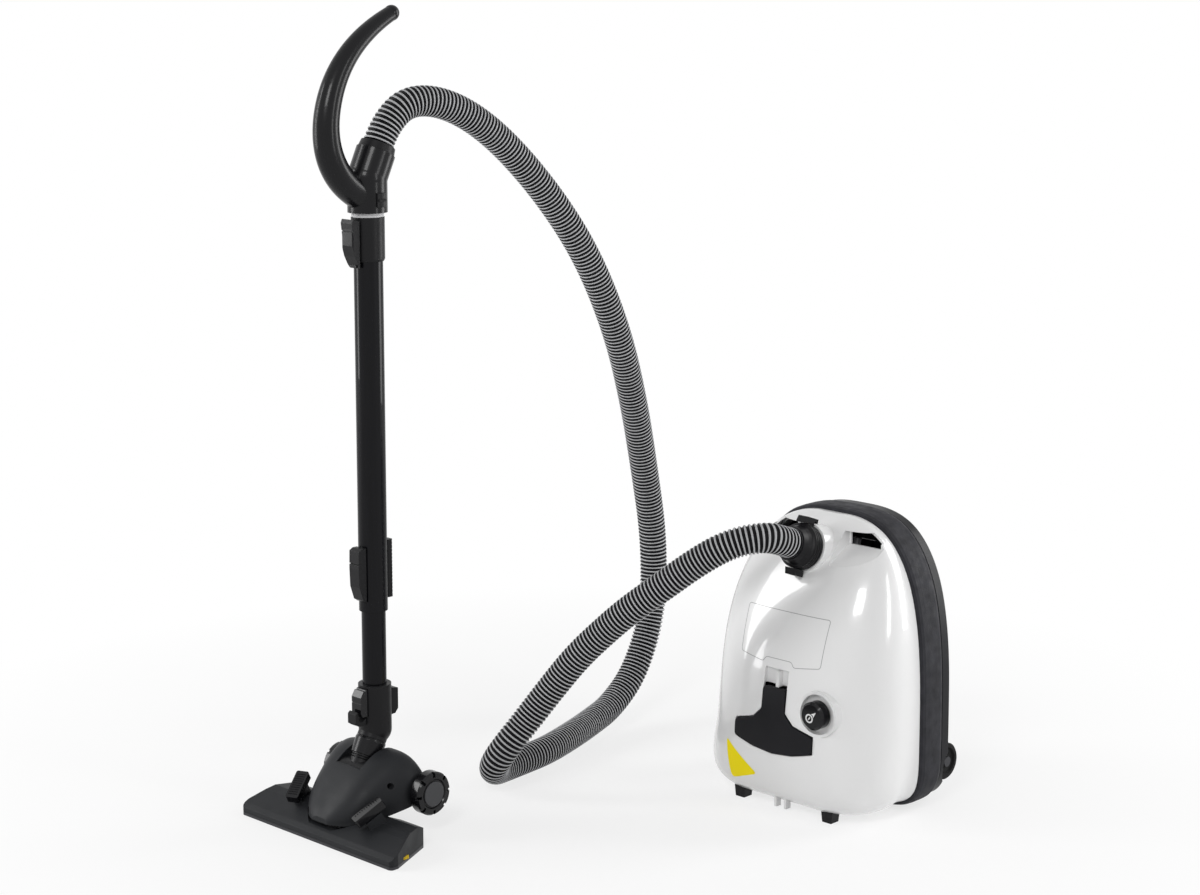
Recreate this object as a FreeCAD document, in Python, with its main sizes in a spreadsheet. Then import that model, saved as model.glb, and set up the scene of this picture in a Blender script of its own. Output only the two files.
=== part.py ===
import FreeCAD
import Part

import math
import os
from types import SimpleNamespace

import Sketcher
from FreeCAD import Placement, Rotation, Vector

# Canister vacuum cleaner, parked upright on its tail, with its hose, handle, telescopic tube
# and combination floor nozzle standing beside it.  Millimetres, +Z up, the decorated cover
# of the canister faces -Y, and the origin lies on the floor below the middle of the whole.

DIMENSIONS = {
    # where the two standing groups are on the floor
    "canister_place_x": 180.5,
    "canister_place_y": 160.5,
    "wand_place_x": -181.5,
    "wand_place_y": -259.5,
    # general fits
    "running_gap": 0.3,
    "pin_gap": 0.05,
    "moulding_wall": 3.0,
    # canister outline and dome
    "body_half_width": 148.0,
    "widest_height": 110.0,
    "body_below_widest": 105.0,
    "body_above_widest": 287.0,
    "belt_front": 98.0,
    "belt_width": 48.0,
    "belt_bulge": 5.0,
    "skirt_step": 2.0,
    "skirt_depth": 20.0,
    "cover_front": 33.0,
    "cover_lean": 38.0,
    "nose_fall": 47.0,
    "belly_depth": 28.0,
    "belly_inset": 22.0,
    "rim_depth": 15.0,
    # tail
    "foot_spacing": 152.0,
    "foot_top_width": 26.0,
    "foot_tip_width": 15.0,
    "foot_depth": 16.0,
    "prong_spacing": 17.0,
    "prong_width": 4.0,
    "prong_depth": 9.0,
    "prong_tip_height": 4.0,
    # exhaust filter cover, a T lying on the cover
    "bar_half_width": 67.0,
    "bar_low": 97.0,
    "bar_high": 121.0,
    "bar_dip": 12.0,
    "stem_half_width": 20.0,
    "stem_root": 132.0,
    "stem_top": 176.0,
    "cover_stand_proud": 2.2,
    "recess_height": 24.0,
    "recess_depth": 14.0,
    "recess_rib_width": 5.0,
    "exhaust_filter_depth": 18.0,
    # power knob
    "knob_x": 72.0,
    "knob_z": 153.0,
    "knob_radius": 19.0,
    "knob_height": 20.0,
    "boss_radius": 31.0,
    "boss_front": 26.0,
    "dish_radius": 27.0,
    "dish_depth": 7.0,
    "switch_shaft_radius": 4.0,
    "switch_travel": 3.0,
    "switch_reach": 7.0,
    # carry handle scoops
    "scoop_inner": 40.0,
    "scoop_outer": 98.0,
    "scoop_low": 336.0,
    "scoop_step": 362.0,
    "scoop_top": 381.0,
    "scoop_back": 78.0,
    # hose inlet
    "inlet_y": 48.0,
    "inlet_z": 352.0,
    "inlet_tilt": 20.0,
    "inlet_bore_radius": 21.3,
    "inlet_socket_radius": 27.0,
    "inlet_boss_radius": 33.0,
    "inlet_boss_height": 16.0,
    "connector_radius": 31.0,
    "connector_end": 44.0,
    "hose_diameter": 41.0,
    "air_radius": 16.5,
    # inside
    "chamber_wall_height": 192.0,
    "motor_radius": 52.0,
    "motor_bottom": 30.0,
    "motor_top": 165.0,
    "motor_y": 95.0,
    "shaft_radius": 4.0,
    "fan_radius": 44.0,
    "reel_radius": 46.0,
    "reel_width": 32.0,
    # bag door in the underside
    "door_half_width": 62.0,
    "door_low": 205.0,
    "door_high": 345.0,
    "door_pin_radius": 2.5,
    # wheels of the canister
    "rear_wheel_radius": 25.5,
    "rear_wheel_width": 16.0,
    "rear_wheel_inner": 117.0,
    "rear_wheel_y": 181.5,
    "rear_wheel_z": 53.0,
    "rear_axle_radius": 4.0,
    "castor_x": 85.0,
    "castor_z": 318.0,
    "castor_radius": 13.0,
    "castor_wheel_width": 10.0,
    "castor_trail": 8.0,
    "castor_reach": 17.0,
    "castor_stem_radius": 4.0,
    # telescopic tube and handle, heights above the floor
    "lower_tube_radius": 16.0,
    "upper_tube_radius": 19.0,
    "tube_wall": 1.0,
    "upper_tube_bottom": 292.0,
    "upper_tube_top": 770.0,
    "lower_tube_bottom": 150.0,
    "lower_tube_top": 640.0,
    "socket_radius": 21.8,
    "sleeve_length": 57.0,
    "socket_top": 812.0,
    "collar_height": 5.4,
    "handle_radius": 26.0,
    "handle_bottom": 818.0,
    "handle_bend": 862.0,
    "handle_tilt": 25.0,
    "handle_socket_length": 36.0,
    "handle_lip": 7.0,
    "handle_seam": 0.2,
    "hose_seat_depth": 3.0,
    # floor nozzle
    "elbow_radius": 22.0,
    "elbow_top": 192.0,
    "bend_height": 130.0,
    "neck_tilt": 28.0,
    "neck_length": 66.0,
    "neck_radius": 16.5,
    "collar_radius": 20.0,
    "barrel_radius": 22.0,
    "barrel_half_width": 23.5,
    "neck_pin_radius": 4.0,
    "neck_pin_half_length": 47.5,
    "cheek_inner": 24.0,
    "cover_half_width": 56.0,
    "nozzle_half_width": 152.0,
    "nozzle_rear_half_width": 118.0,
    "nozzle_front": 108.0,
    "nozzle_rear": 21.0,
    "sole_thickness": 4.0,
    "sole_hinge_y": 78.0,
    "sole_hinge_z": 27.0,
    "sole_pin_radius": 2.5,
    "nozzle_wheel_radius": 29.0,
    "nozzle_wheel_width": 17.0,
    "nozzle_wheel_inner": 80.0,
    "nozzle_wheel_y": 17.0,
    "nozzle_wheel_z": 57.0,
    "mouth_half_width": 128.0,
    "mouth_depth": 16.0,
    "strip_half_length": 112.0,
    "strip_width": 4.0,
    "strip_height": 9.0,
    "strip_clear_of_floor": 0.6,
    "pedal_length": 44.0,
    "pedal_width": 18.0,
    "pedal_thickness": 11.0,
    "pedal_x": 73.0,
    "pedal_y": 72.0,
    "pedal_z": 45.0,
    "pedal_pin_radius": 2.5,
}

doc = FreeCAD.newDocument("CanisterVacuum")
sheet = doc.addObject("Spreadsheet::Sheet", "Dimensions")
for row, (alias, value) in enumerate(DIMENSIONS.items(), start=1):
    sheet.set(f"A{row}", alias)
    sheet.set(f"B{row}", str(value))
    sheet.setAlias(f"B{row}", alias)
doc.recompute()


class Size:
    """A number that remembers the sheet formula which it comes from."""

    def __init__(self, value, formula):
        self.value = float(value)
        self.formula = formula

    def __float__(self):
        return self.value

    def __add__(self, other):
        return joined(self, "+", other, self.value + float(other))

    def __radd__(self, other):
        return joined(other, "+", self, float(other) + self.value)

    def __sub__(self, other):
        return joined(self, "-", other, self.value - float(other))

    def __rsub__(self, other):
        return joined(other, "-", self, float(other) - self.value)

    def __mul__(self, other):
        return joined(self, "*", other, self.value * float(other))

    def __rmul__(self, other):
        return joined(other, "*", self, float(other) * self.value)

    def __truediv__(self, other):
        return joined(self, "/", other, self.value / float(other))

    def __neg__(self):
        return Size(-self.value, f"(0 - {self.formula})")


def formula_of(number):
    return number.formula if isinstance(number, Size) else f"({float(number)})"


def joined(left, sign, right, value):
    return Size(value, f"({formula_of(left)} {sign} {formula_of(right)})")


def size(alias):
    return Size(sheet.get(alias), f"Dimensions.{alias}")


d = SimpleNamespace(**{alias: size(alias) for alias in DIMENSIONS})
GAP = d.running_gap
WALL = d.moulding_wall


# ---------------------------------------------------------------- building blocks

TURNS = {
    "z": Rotation(),
    "-z": Rotation(Vector(1, 0, 0), 180),
    "x": Rotation(Vector(0, 1, 0), 90),
    "y": Rotation(Vector(1, 0, 0), -90),
    "-y": Rotation(Vector(1, 0, 0), 90),
}


def bind(item, name, number):
    setattr(item, name, float(number))
    if isinstance(number, Size):
        item.setExpression(name, number.formula)


def place(item, at, turn=Rotation()):
    item.Placement = Placement(Vector(*[float(number) for number in at]), turn)
    for axis, number in zip("xyz", at):
        if isinstance(number, Size):
            item.setExpression(f"Placement.Base.{axis}", number.formula)


def cylinder(radius, length, at=(0, 0, 0), axis="z"):
    item = doc.addObject("Part::Cylinder", "Cylinder")
    bind(item, "Radius", radius)
    bind(item, "Height", length)
    place(item, at, TURNS[axis])
    return item


def ball(radius, at=(0, 0, 0)):
    item = doc.addObject("Part::Sphere", "Ball")
    bind(item, "Radius", radius)
    place(item, at)
    return item


def box(x, y, z):
    """A box between two limits along each axis."""
    item = doc.addObject("Part::Box", "Box")
    for name, (low, high) in zip(("Length", "Width", "Height"), (x, y, z)):
        bind(item, name, high - low)
    place(item, (x[0], y[0], z[0]))
    return item


def fuse(*parts):
    item = doc.addObject("Part::MultiFuse", "Fusion")
    item.Shapes = list(parts)
    return item


def cut(base, *tools):
    item = doc.addObject("Part::Cut", "Cut")
    item.Base = base
    item.Tool = tools[0] if len(tools) == 1 else fuse(*tools)
    return item


def common(*parts):
    item = doc.addObject("Part::MultiCommon", "Common")
    item.Shapes = list(parts)
    return item


def moved(item, at, turn=Rotation()):
    """The item in a frame of its own, so that its placement can be bound again."""
    group = doc.addObject("Part::Compound", "Group")
    group.Links = item if isinstance(item, list) else [item]
    place(group, at, turn)
    return group


def mirrored(item):
    """The item's mirror image across the plane X = 0."""
    item_mirror = doc.addObject("Part::Mirroring", "Mirrored")
    item_mirror.Source = item
    item_mirror.Base = Vector(0, 0, 0)
    item_mirror.Normal = Vector(1, 0, 0)
    return item_mirror


def softened(item, radius, choose):
    """Fillets on the edges that choose(edge) picks."""
    doc.recompute()
    chosen = [k for k, edge in enumerate(item.Shape.Edges, start=1) if choose(edge)]
    fillet = doc.addObject("Part::Fillet", "Fillet")
    fillet.Base = item
    fillet.Edges = [(k, float(radius), float(radius)) for k in chosen]
    return fillet


def along(axis):
    """Picks straight edges that lie along one axis."""
    direction = {"x": Vector(1, 0, 0), "y": Vector(0, 1, 0), "z": Vector(0, 0, 1)}[axis]

    def choose(edge):
        if edge.Curve.TypeId != "Part::GeomLine":
            return False
        return abs(edge.tangentAt(edge.FirstParameter).dot(direction)) > 0.999

    return choose


PLANES = {"XY": ("XY_Plane", 1), "XZ": ("XZ_Plane", -1), "YZ": ("YZ_Plane", 1)}


def sketch_on(body, plane, points):
    """A closed outline on a body's plane, each corner tied to the sheet."""
    sketch = body.newObject("Sketcher::SketchObject", "Sketch")
    origin_plane = [f for f in body.Origin.OriginFeatures if f.Role == PLANES[plane][0]][0]
    sketch.AttachmentSupport = [(origin_plane, "")]
    sketch.MapMode = "FlatFace"
    corners = [Vector(float(a), float(b), 0) for a, b in points]
    count = len(corners)
    for k in range(count):
        sketch.addGeometry(Part.LineSegment(corners[k], corners[(k + 1) % count]))
    for k in range(count):
        sketch.addConstraint(Sketcher.Constraint("Coincident", k, 2, (k + 1) % count, 1))
    for k, corner in enumerate(points):
        for kind, number in zip(("DistanceX", "DistanceY"), corner):
            made = Sketcher.Constraint(kind, -1, 1, k, 1, float(number))
            index = sketch.addConstraint(made)
            if isinstance(number, Size):
                sketch.setExpression(f"Constraints[{index}]", number.formula)
    return sketch


def padded(plane, points, limits, edge_radius=None):
    """A prism: an outline on a plane, between two limits along the plane's normal."""
    low, high = limits
    body = doc.addObject("PartDesign::Body", "Body")
    sketch = sketch_on(body, plane, points)
    start = low if PLANES[plane][1] > 0 else -high
    offset_start = float(start)
    sketch.AttachmentOffset = Placement(Vector(0, 0, offset_start), Rotation())
    if isinstance(start, Size):
        sketch.setExpression("AttachmentOffset.Base.z", start.formula)
    pad = body.newObject("PartDesign::Pad", "Pad")
    pad.Profile = sketch
    bind(pad, "Length", high - low)
    if edge_radius is not None:
        doc.recompute()
        axis = {"XY": "z", "XZ": "y", "YZ": "x"}[plane]
        picks = along(axis)
        names = [f"Edge{k}" for k, edge in enumerate(pad.Shape.Edges, start=1) if picks(edge)]
        rounding = body.newObject("PartDesign::Fillet", "Rounding")
        rounding.Base = (pad, names)
        bind(rounding, "Radius", edge_radius)
    return body


def turned(profile, at=(0, 0, 0), turn=Rotation()):
    """A turned piece: an outline of (radius, height) corners revolved about Z."""
    body = doc.addObject("PartDesign::Body", "Body")
    sketch = sketch_on(body, "XZ", profile)
    spin = body.newObject("PartDesign::Revolution", "Revolution")
    spin.Profile = sketch
    spin.ReferenceAxis = (sketch, ["V_Axis"])
    spin.Angle = 360
    place(body, at, turn)
    return body


def ring(inner, outer, low, high, at=(0, 0, 0), turn=Rotation()):
    return turned([(inner, low), (outer, low), (outer, high), (inner, high)], at, turn)


def block(x, y, z):
    """The shape of a box between two limits along each axis."""
    spans = [(float(low), float(high)) for low, high in (x, y, z)]
    lengths = [high - low for low, high in spans]
    return Part.makeBox(*lengths, Vector(*[low for low, high in spans]))


def rod(radius, start, length, direction=(0, 0, 1)):
    """The shape of a round bar from its start point."""
    corner = Vector(*[float(number) for number in start])
    return Part.makeCylinder(float(radius), float(length), corner, Vector(*direction))


def prism(plane, points, limits):
    """The shape of an outline drawn on a plane and extruded between two limits along its normal."""
    low, high = [float(limit) for limit in limits]
    corners = []
    for a, b in points:
        spot = {"XZ": (float(a), low, float(b)), "YZ": (low, float(a), float(b)), "XY": (float(a), float(b), low)}
        corners.append(Vector(*spot[plane]))
    face = Part.Face(Part.makePolygon(corners + corners[:1]))
    normal = {"XZ": (0, 1, 0), "YZ": (1, 0, 0), "XY": (0, 0, 1)}[plane]
    return face.extrude(Vector(*normal) * (high - low))


def flipped(shape):
    """The shape's mirror image across the plane X = 0."""
    return shape.mirror(Vector(0, 0, 0), Vector(1, 0, 0))


def solid_of(shape):
    item = doc.addObject("Part::Feature", "Shape")
    item.Shape = shape
    return item


NODES = []
CANISTER = (d.canister_place_x, d.canister_place_y, 0)
WAND = (d.wand_place_x, d.wand_place_y, 0)


def node(label, item, group=None, turn=Rotation()):
    """A finished sub-part of the vacuum cleaner, in the place of its group."""
    made = moved(item, group or (0, 0, 0), turn)
    made.Label = label
    NODES.append(made)
    return made


# ---------------------------------------------------------------- canister: forms

def rounded_reach(angle, power):
    """Distance to a unit superellipse, a circle that swells towards a square."""
    return (abs(math.cos(angle)) ** power + abs(math.sin(angle)) ** power) ** (-1.0 / power)


def outline_extent(rise_is_up, offset):
    """Half width, reach and squareness of the upper or lower half of the body's outline."""
    half_width = float(d.body_half_width) + offset
    if rise_is_up:
        return half_width, float(d.body_above_widest) + offset, NOSE_POWER
    return half_width, float(d.body_below_widest) + offset, TAIL_POWER


def outline_wire(offset, y, corners=24):
    """The body's rounded, tapering outline at one depth."""
    points = []
    for k in range(corners):
        angle = 2 * math.pi * k / corners
        half_width, reach, power = outline_extent(math.sin(angle) > 0, offset)
        out = rounded_reach(angle, power)
        height = float(d.widest_height) + reach * out * math.sin(angle)
        points.append(Vector(half_width * out * math.cos(angle), y, height))
    curve = Part.BSplineCurve()
    curve.interpolate(Points=points, PeriodicFlag=True)
    return Part.Wire([curve.toShape()])


def outline_block(offset, y_low, y_high):
    """The outline, extruded between two depths."""
    face = Part.Face(outline_wire(offset, y_low))
    return face.extrude(Vector(0, y_high - y_low, 0))


def dome_level(share, upper, inset):
    """Half width, depth and squareness of the dome at a share of its reach from the widest height."""
    half_width, reach, power = outline_extent(upper, -inset)
    front = inset - float(d.cover_front)
    if upper:
        front += float(d.cover_lean) * share ** 1.25 + float(d.nose_fall) * share ** 4
    squareness = power if upper else NOSE_POWER + (TAIL_POWER - NOSE_POWER) * share
    narrowing = (1.0 - share ** power) ** (1.0 / power)
    depth = (float(d.belt_front) - front) * (1.0 - share ** squareness) ** (1.0 / squareness)
    return half_width * narrowing, depth, squareness


def dome_row(lean, inset, steps=10):
    """Points across the dome at one level, from its left edge at the belt to its right."""
    upper = lean > 0
    _, reach, power = outline_extent(upper, -inset)
    share = min(abs(math.sin(lean)) * rounded_reach(lean, power), 1.0)
    half, depth, squareness = dome_level(share, upper, inset)
    z = float(d.widest_height) + math.copysign(share * reach, lean)
    row = []
    for k in range(steps + 1):
        turn = math.pi * k / steps
        out = rounded_reach(turn, squareness)
        y = float(d.belt_front) - depth * out * math.sin(turn)
        row.append(Vector(-half * out * math.cos(turn), y, z))
    row[0].y = row[-1].y = float(d.belt_front)
    return row


def dome(inset):
    """The domed cover as a solid, moved inwards by inset, from its front to the belt."""
    form = capped([dome_row(math.radians(lean), inset) for lean in DOME_LEANS])
    lowest = float(d.widest_height - d.body_below_widest) + inset
    return form.common(block((-2 * OPEN, 2 * OPEN), (-OPEN, 2 * OPEN), (lowest, 6 * OPEN))).Solids[0]


def capped(rows):
    """The solid under a smooth surface through rows of points whose ends all lie in one plane."""
    surface = Part.BSplineSurface()
    surface.interpolate(rows)
    front = surface.toShape()
    sides = [surface.vIso(knot).toShape() for knot in (surface.bounds()[2], surface.bounds()[3])]
    ends = [surface.uIso(knot).toShape() for knot in (surface.bounds()[0], surface.bounds()[1])]
    closing = [Part.LineSegment(row[0], row[-1]).toShape() for row in (rows[0], rows[-1])]
    caps = [Part.Face(Part.Wire([end, line])) for end, line in zip(ends, closing)]
    back = Part.Face(Part.Wire(Part.__sortEdges__(sides + closing)))
    shell = Part.Shell([front, back] + caps)
    shell.sewShape()
    return Part.Solid(Part.Shell(shell.Faces))


NOSE_POWER = 3.0
TAIL_POWER = 5.0
DOME_LEANS = (-80, -70, -60, -52, -45, -38, -30, -20, -8, 6, 20, 34, 48, 60, 70, 80)
belt_back = d.belt_front + d.belt_width
skirt_back = d.belt_front + d.skirt_depth
belly_back = belt_back + d.belly_depth + GAP
OPEN = 80.0
door_pin_place = (belly_back + 4.5, d.door_low + 1.0)
sleeve_bottom = d.socket_top - d.sleeve_length

INLET_TURN = Rotation(Vector(1, 0, 0), 90.0 - float(d.inlet_tilt))
INLET_PLACE = (0, d.inlet_y, d.inlet_z)


# ---------------------------------------------------------------- canister: housings

def t_outline(grow):
    """The exhaust cover's T, with its hanging bar and upright stem."""
    bar = d.bar_half_width + grow
    stem = d.stem_half_width + grow
    shoulder = d.stem_half_width + 14.0 + grow
    middle = d.bar_half_width / 2 + grow
    dip = d.bar_low - d.bar_dip - grow
    return [
        (-bar, d.bar_low - grow),
        (-middle, dip + 3.5),
        (0.0, dip),
        (middle, dip + 3.5),
        (bar, d.bar_low - grow),
        (bar, d.bar_high + grow),
        (shoulder, d.stem_root - 2.0 + grow),
        (stem, d.stem_root + 12.0),
        (stem, d.stem_top + grow),
        (-stem, d.stem_top + grow),
        (-stem, d.stem_root + 12.0),
        (-shoulder, d.stem_root - 2.0 + grow),
        (-bar, d.bar_high + grow),
    ]


def scoop(grow):
    """The finger scoop beside the hose inlet, deepening upwards under the handle bar."""
    low, step, top = d.scoop_low - grow, d.scoop_step - grow, d.scoop_top + grow
    back = d.scoop_back + grow
    side = [(-OPEN, low), (back - 50.0, low), (back, step), (back, top), (-OPEN, top)]
    return prism("YZ", side, (d.scoop_inner - grow, d.scoop_outer + grow))


def both_sides(shape):
    return [shape, flipped(shape)]


def upper_housing():
    step = float(d.skirt_step)
    wall = float(WALL)
    belt = float(d.belt_front)
    recess_floor = d.recess_depth - d.cover_front
    knob_floor = d.dish_depth - d.boss_front
    skirt = outline_block(-step, belt - 1.0, float(skirt_back))
    knob_boss = rod(d.boss_radius, (d.knob_x, -d.boss_front, d.knob_z), d.boss_front, (0, 1, 0))
    inlet = Placement(Vector(0, float(d.inlet_y), float(d.inlet_z)), INLET_TURN)
    boss_height = float(d.inlet_boss_height)
    inlet_boss = Part.makeCone(float(d.inlet_boss_radius) + 6.0, float(d.inlet_boss_radius), boss_height + 20.0,
                               Vector(0, 0, -20.0))
    inlet_liner = rod(d.inlet_socket_radius + WALL, (0, 0, -30.0), boss_height + 30.0)
    inlet_bore = rod(d.inlet_socket_radius + GAP, (0, 0, -OPEN), 2 * OPEN)
    for shape in (inlet_boss, inlet_liner, inlet_bore):
        shape.Placement = inlet
    prongs = []
    for x in (-d.prong_spacing / 2, d.prong_spacing / 2):
        prongs.append(
            block(
                (x - d.prong_width / 2, x + d.prong_width / 2),
                (-d.prong_depth - 4.0, -4.0),
                (d.prong_tip_height, 34.0),
            )
        )
    solid = dome(0.0).fuse([skirt, knob_boss, inlet_boss] + prongs)

    recess_span = (d.stem_top - 1.0, d.stem_top + d.recess_height)
    recess = block((-d.stem_half_width, d.stem_half_width), (-OPEN, recess_floor), recess_span)
    recess_liner = block(
        (-d.stem_half_width - WALL, d.stem_half_width + WALL),
        (-OPEN, recess_floor + WALL),
        (d.stem_top + 2.0, d.stem_top + d.recess_height + WALL),
    )
    rib = block(
        (2.0, 2.0 + d.recess_rib_width),
        (recess_floor - 9.0, recess_floor + 1.0),
        (d.stem_top + 1.0, d.stem_top + d.recess_height - 1.0),
    )
    boss_liner = rod(d.boss_radius, (d.knob_x, -d.boss_front, d.knob_z), d.boss_front + knob_floor + WALL, (0, 1, 0))
    liners = [recess_liner, boss_liner, inlet_liner] + both_sides(scoop(WALL))
    hollow = dome(wall)
    skirt_hollow = outline_block(-step - wall, belt - 2.0, float(skirt_back) + 1.0)
    cavity = hollow.fuse(skirt_hollow).cut(liners)

    t_hole = prism("XZ", t_outline(GAP), (-OPEN, recess_floor))
    dish = rod(d.dish_radius, (d.knob_x, knob_floor - OPEN, d.knob_z), OPEN, (0, 1, 0))
    shaft_hole = rod(d.switch_shaft_radius + d.pin_gap, (d.knob_x, -OPEN, d.knob_z), OPEN, (0, 1, 0))
    handle_hole = block(
        (d.scoop_inner + 3.0, d.scoop_outer - 5.0),
        (d.scoop_back - 1.0, d.scoop_back + WALL * 2),
        (d.scoop_step, d.scoop_top),
    )
    openings = [recess, t_hole, dish, shaft_hole, inlet_bore] + both_sides(scoop(0.0)) + both_sides(handle_hole)
    return solid_of(solid.cut([cavity] + openings).fuse(rib.cut(t_hole)))


def exhaust_cover():
    plate = padded("XZ", t_outline(0.0), (-OPEN, 0.0))
    face = solid_of(dome(-float(d.cover_stand_proud)))
    hollow = solid_of(dome(float(WALL)))
    return cut(common(plate, face), hollow)


def rounded_band(front, back, low, high):
    """A solid band round the outline whose surface swells from low to high between its edges."""
    levels = [(0.0, 0.0), (0.06, 0.6), (0.16, 0.9), (0.34, 1.0), (0.66, 1.0), (0.84, 0.9), (0.94, 0.6), (1.0, 0.0)]
    wires = [outline_wire(low + share * (high - low), front + place * (back - front)) for place, share in levels]
    return Part.makeLoft(wires, True, True)


def belly(inset):
    """The underside's tray, from the rim behind the belt to its flat back."""
    rim = float(belt_back + GAP) - (1.0 if inset else 0.0)
    rim_end = float(belt_back + d.rim_depth)
    back = float(belly_back) - inset
    slope = float(d.belly_inset)
    step = float(d.skirt_step)
    flange = -step - inset if inset else step
    levels = [(rim, flange), (rim_end, flange), (rim_end + 0.5, -step - inset), (back - 7.0, -0.7 * slope - inset),
              (back, -slope - inset)]
    return Part.makeLoft([outline_wire(offset, y) for y, offset in levels], True, True)


def lower_housing():
    step = float(d.skirt_step)
    wall = float(WALL)
    split = float(skirt_back + GAP)
    rim = float(belt_back + GAP)
    tray = belly(0.0)
    solid = outline_block(-step, split, rim + 1.0).fuse(tray)
    well_inner = d.rear_wheel_inner - 3.0
    well_radius = d.rear_wheel_radius + 4.0
    axle_start = (well_inner - 16.0, d.rear_wheel_y, d.rear_wheel_z)
    well_start = (well_inner, d.rear_wheel_y, d.rear_wheel_z)
    liner_start = (well_inner - WALL, d.rear_wheel_y, d.rear_wheel_z)
    liner = rod(well_radius + WALL, liner_start, 60.0, (1, 0, 0))
    boss = rod(d.rear_axle_radius + 5.0, axle_start, 17.0, (1, 0, 0))
    well = rod(well_radius, well_start, 60.0, (1, 0, 0))
    axle_bore = rod(d.rear_axle_radius + d.pin_gap, axle_start, 40.0, (1, 0, 0))
    axle_boss = boss.fuse(
        block(
            (well_inner - 16.0, well_inner + 1.0),
            (belly_back - 10.0, d.rear_wheel_y),
            (d.rear_wheel_z - d.rear_axle_radius - 5.0, d.rear_wheel_z + d.rear_axle_radius + 5.0),
        )
    )
    stem_boss = rod(d.castor_stem_radius + 5.0, (d.castor_x, belly_back - 14.0, d.castor_z), 14.0, (0, 1, 0))
    stem_bore = rod(d.castor_stem_radius + d.pin_gap, (d.castor_x, belly_back - 20.0, d.castor_z), 30.0, (0, 1, 0))
    liners = both_sides(liner) + both_sides(boss) + both_sides(stem_boss)
    cavity = outline_block(-step - wall, split - 1.0, rim + 1.0).fuse(belly(wall)).cut(liners)
    door_hole = block(
        (-d.door_half_width - GAP, d.door_half_width + GAP),
        (belly_back - WALL * 2, belly_back + 1.0),
        (d.door_low - GAP, d.door_high + GAP),
    )
    pin_y, pin_z = door_pin_place
    ear = rod(4.0, (31.0, pin_y, pin_z), 12.0, (1, 0, 0))
    ear_foot = block((31.0, 43.0), (belly_back - 1.0, pin_y), (pin_z - 12.0, pin_z - 1.5))
    pin_bore = rod(d.door_pin_radius + d.pin_gap, (-50.0, pin_y, pin_z), 100.0, (1, 0, 0))
    holes = both_sides(well) + both_sides(stem_bore)
    lugs = both_sides(ear.fuse(ear_foot)) + both_sides(axle_boss)
    return solid_of(solid.cut([cavity, door_hole] + holes).fuse(lugs).cut([pin_bore] + both_sides(axle_bore)))


def belt_bumper():
    front = float(d.belt_front + GAP)
    back = float(belt_back)
    band = rounded_band(front, back, 1.0, float(d.belt_bulge))
    return solid_of(band.cut(outline_block(-float(d.skirt_step - GAP), front - 1.0, back + 1.0)))


def tail_feet():
    feet = []
    for x in (d.foot_spacing / 2, -d.foot_spacing / 2):
        top, tip = d.foot_top_width / 2, d.foot_tip_width / 2
        outline = [(x - tip, 0.0), (x + tip, 0.0), (x + top, 40.0), (x - top, 40.0)]
        feet.append(padded("XZ", outline, (-d.foot_depth / 2, d.foot_depth / 2)))
    clearance = solid_of(dome(-float(GAP)))
    return [cut(foot, clearance) for foot in feet]


node("upper_housing", upper_housing(), CANISTER)
node("exhaust_cover", exhaust_cover(), CANISTER)
node("lower_housing", lower_housing(), CANISTER)
node("belt_bumper", belt_bumper(), CANISTER)
node("tail_feet", tail_feet(), CANISTER)


# ---------------------------------------------------------------- canister: controls and filters

def power_knob():
    """A turned knob on the switch's shaft, standing clear of its dish by more than the switch's travel."""
    foot = d.switch_travel + 2 * GAP
    bore = d.switch_shaft_radius + d.pin_gap
    return turned(
        [
            (bore, foot),
            (d.knob_radius, foot),
            (d.knob_radius, d.knob_height - 3.0),
            (d.knob_radius - 3.0, d.knob_height),
            (0.0, d.knob_height),
            (0.0, d.knob_height - 6.0),
            (bore, d.knob_height - 6.0),
        ],
        (d.knob_x, d.dish_depth - d.boss_front, d.knob_z),
        TURNS["-y"],
    )


def switch_shaft():
    root = d.dish_depth - d.boss_front
    return cylinder(
        d.switch_shaft_radius,
        d.knob_height - 6.0 - GAP + d.switch_reach,
        (d.knob_x, root + d.switch_reach, d.knob_z),
        "-y",
    )


def control_board():
    """A circuit board carrying the switch body that the knob's shaft works."""
    switch_front = d.dish_depth - d.boss_front + WALL + GAP
    back = switch_front + 11.0
    body = box((d.knob_x - 11.0, d.knob_x + 11.0), (switch_front, back), (d.knob_z - 12.0, d.knob_z + 12.0))
    bore = cylinder(d.switch_shaft_radius + d.pin_gap, 40.0, (d.knob_x, back - 2.0, d.knob_z), "-y")
    board = box((d.knob_x - 22.0, d.knob_x + 20.0), (back, back + 1.6), (d.knob_z - 30.0, d.knob_z + 26.0))
    heat_sink = box((d.knob_x - 18.0, d.knob_x - 2.0), (back + 1.6, back + 15.0), (d.knob_z - 26.0, d.knob_z - 10.0))
    return fuse(cut(body, bore), board, heat_sink)


def exhaust_filter():
    front = 8.5 - d.cover_front
    half = d.bar_half_width - 10.0
    frame = box((-half, half), (front, front + d.exhaust_filter_depth), (d.bar_low - 4.0, d.bar_high + 4.3))
    pleats = [
        box((x - 1.6, x + 1.6), (front - 1.0, front + 6.0), (d.bar_low, d.bar_high - 1.0))
        for x in [-half + 6.0 + 7.4 * k for k in range(14)]
    ]
    return cut(frame, *pleats)


def inlet_socket():
    """The black port that the hose plugs into, reaching into the bag chamber."""
    return ring(d.inlet_bore_radius, d.inlet_socket_radius, -40.0, d.inlet_boss_height + 2.0, INLET_PLACE, INLET_TURN)


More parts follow.
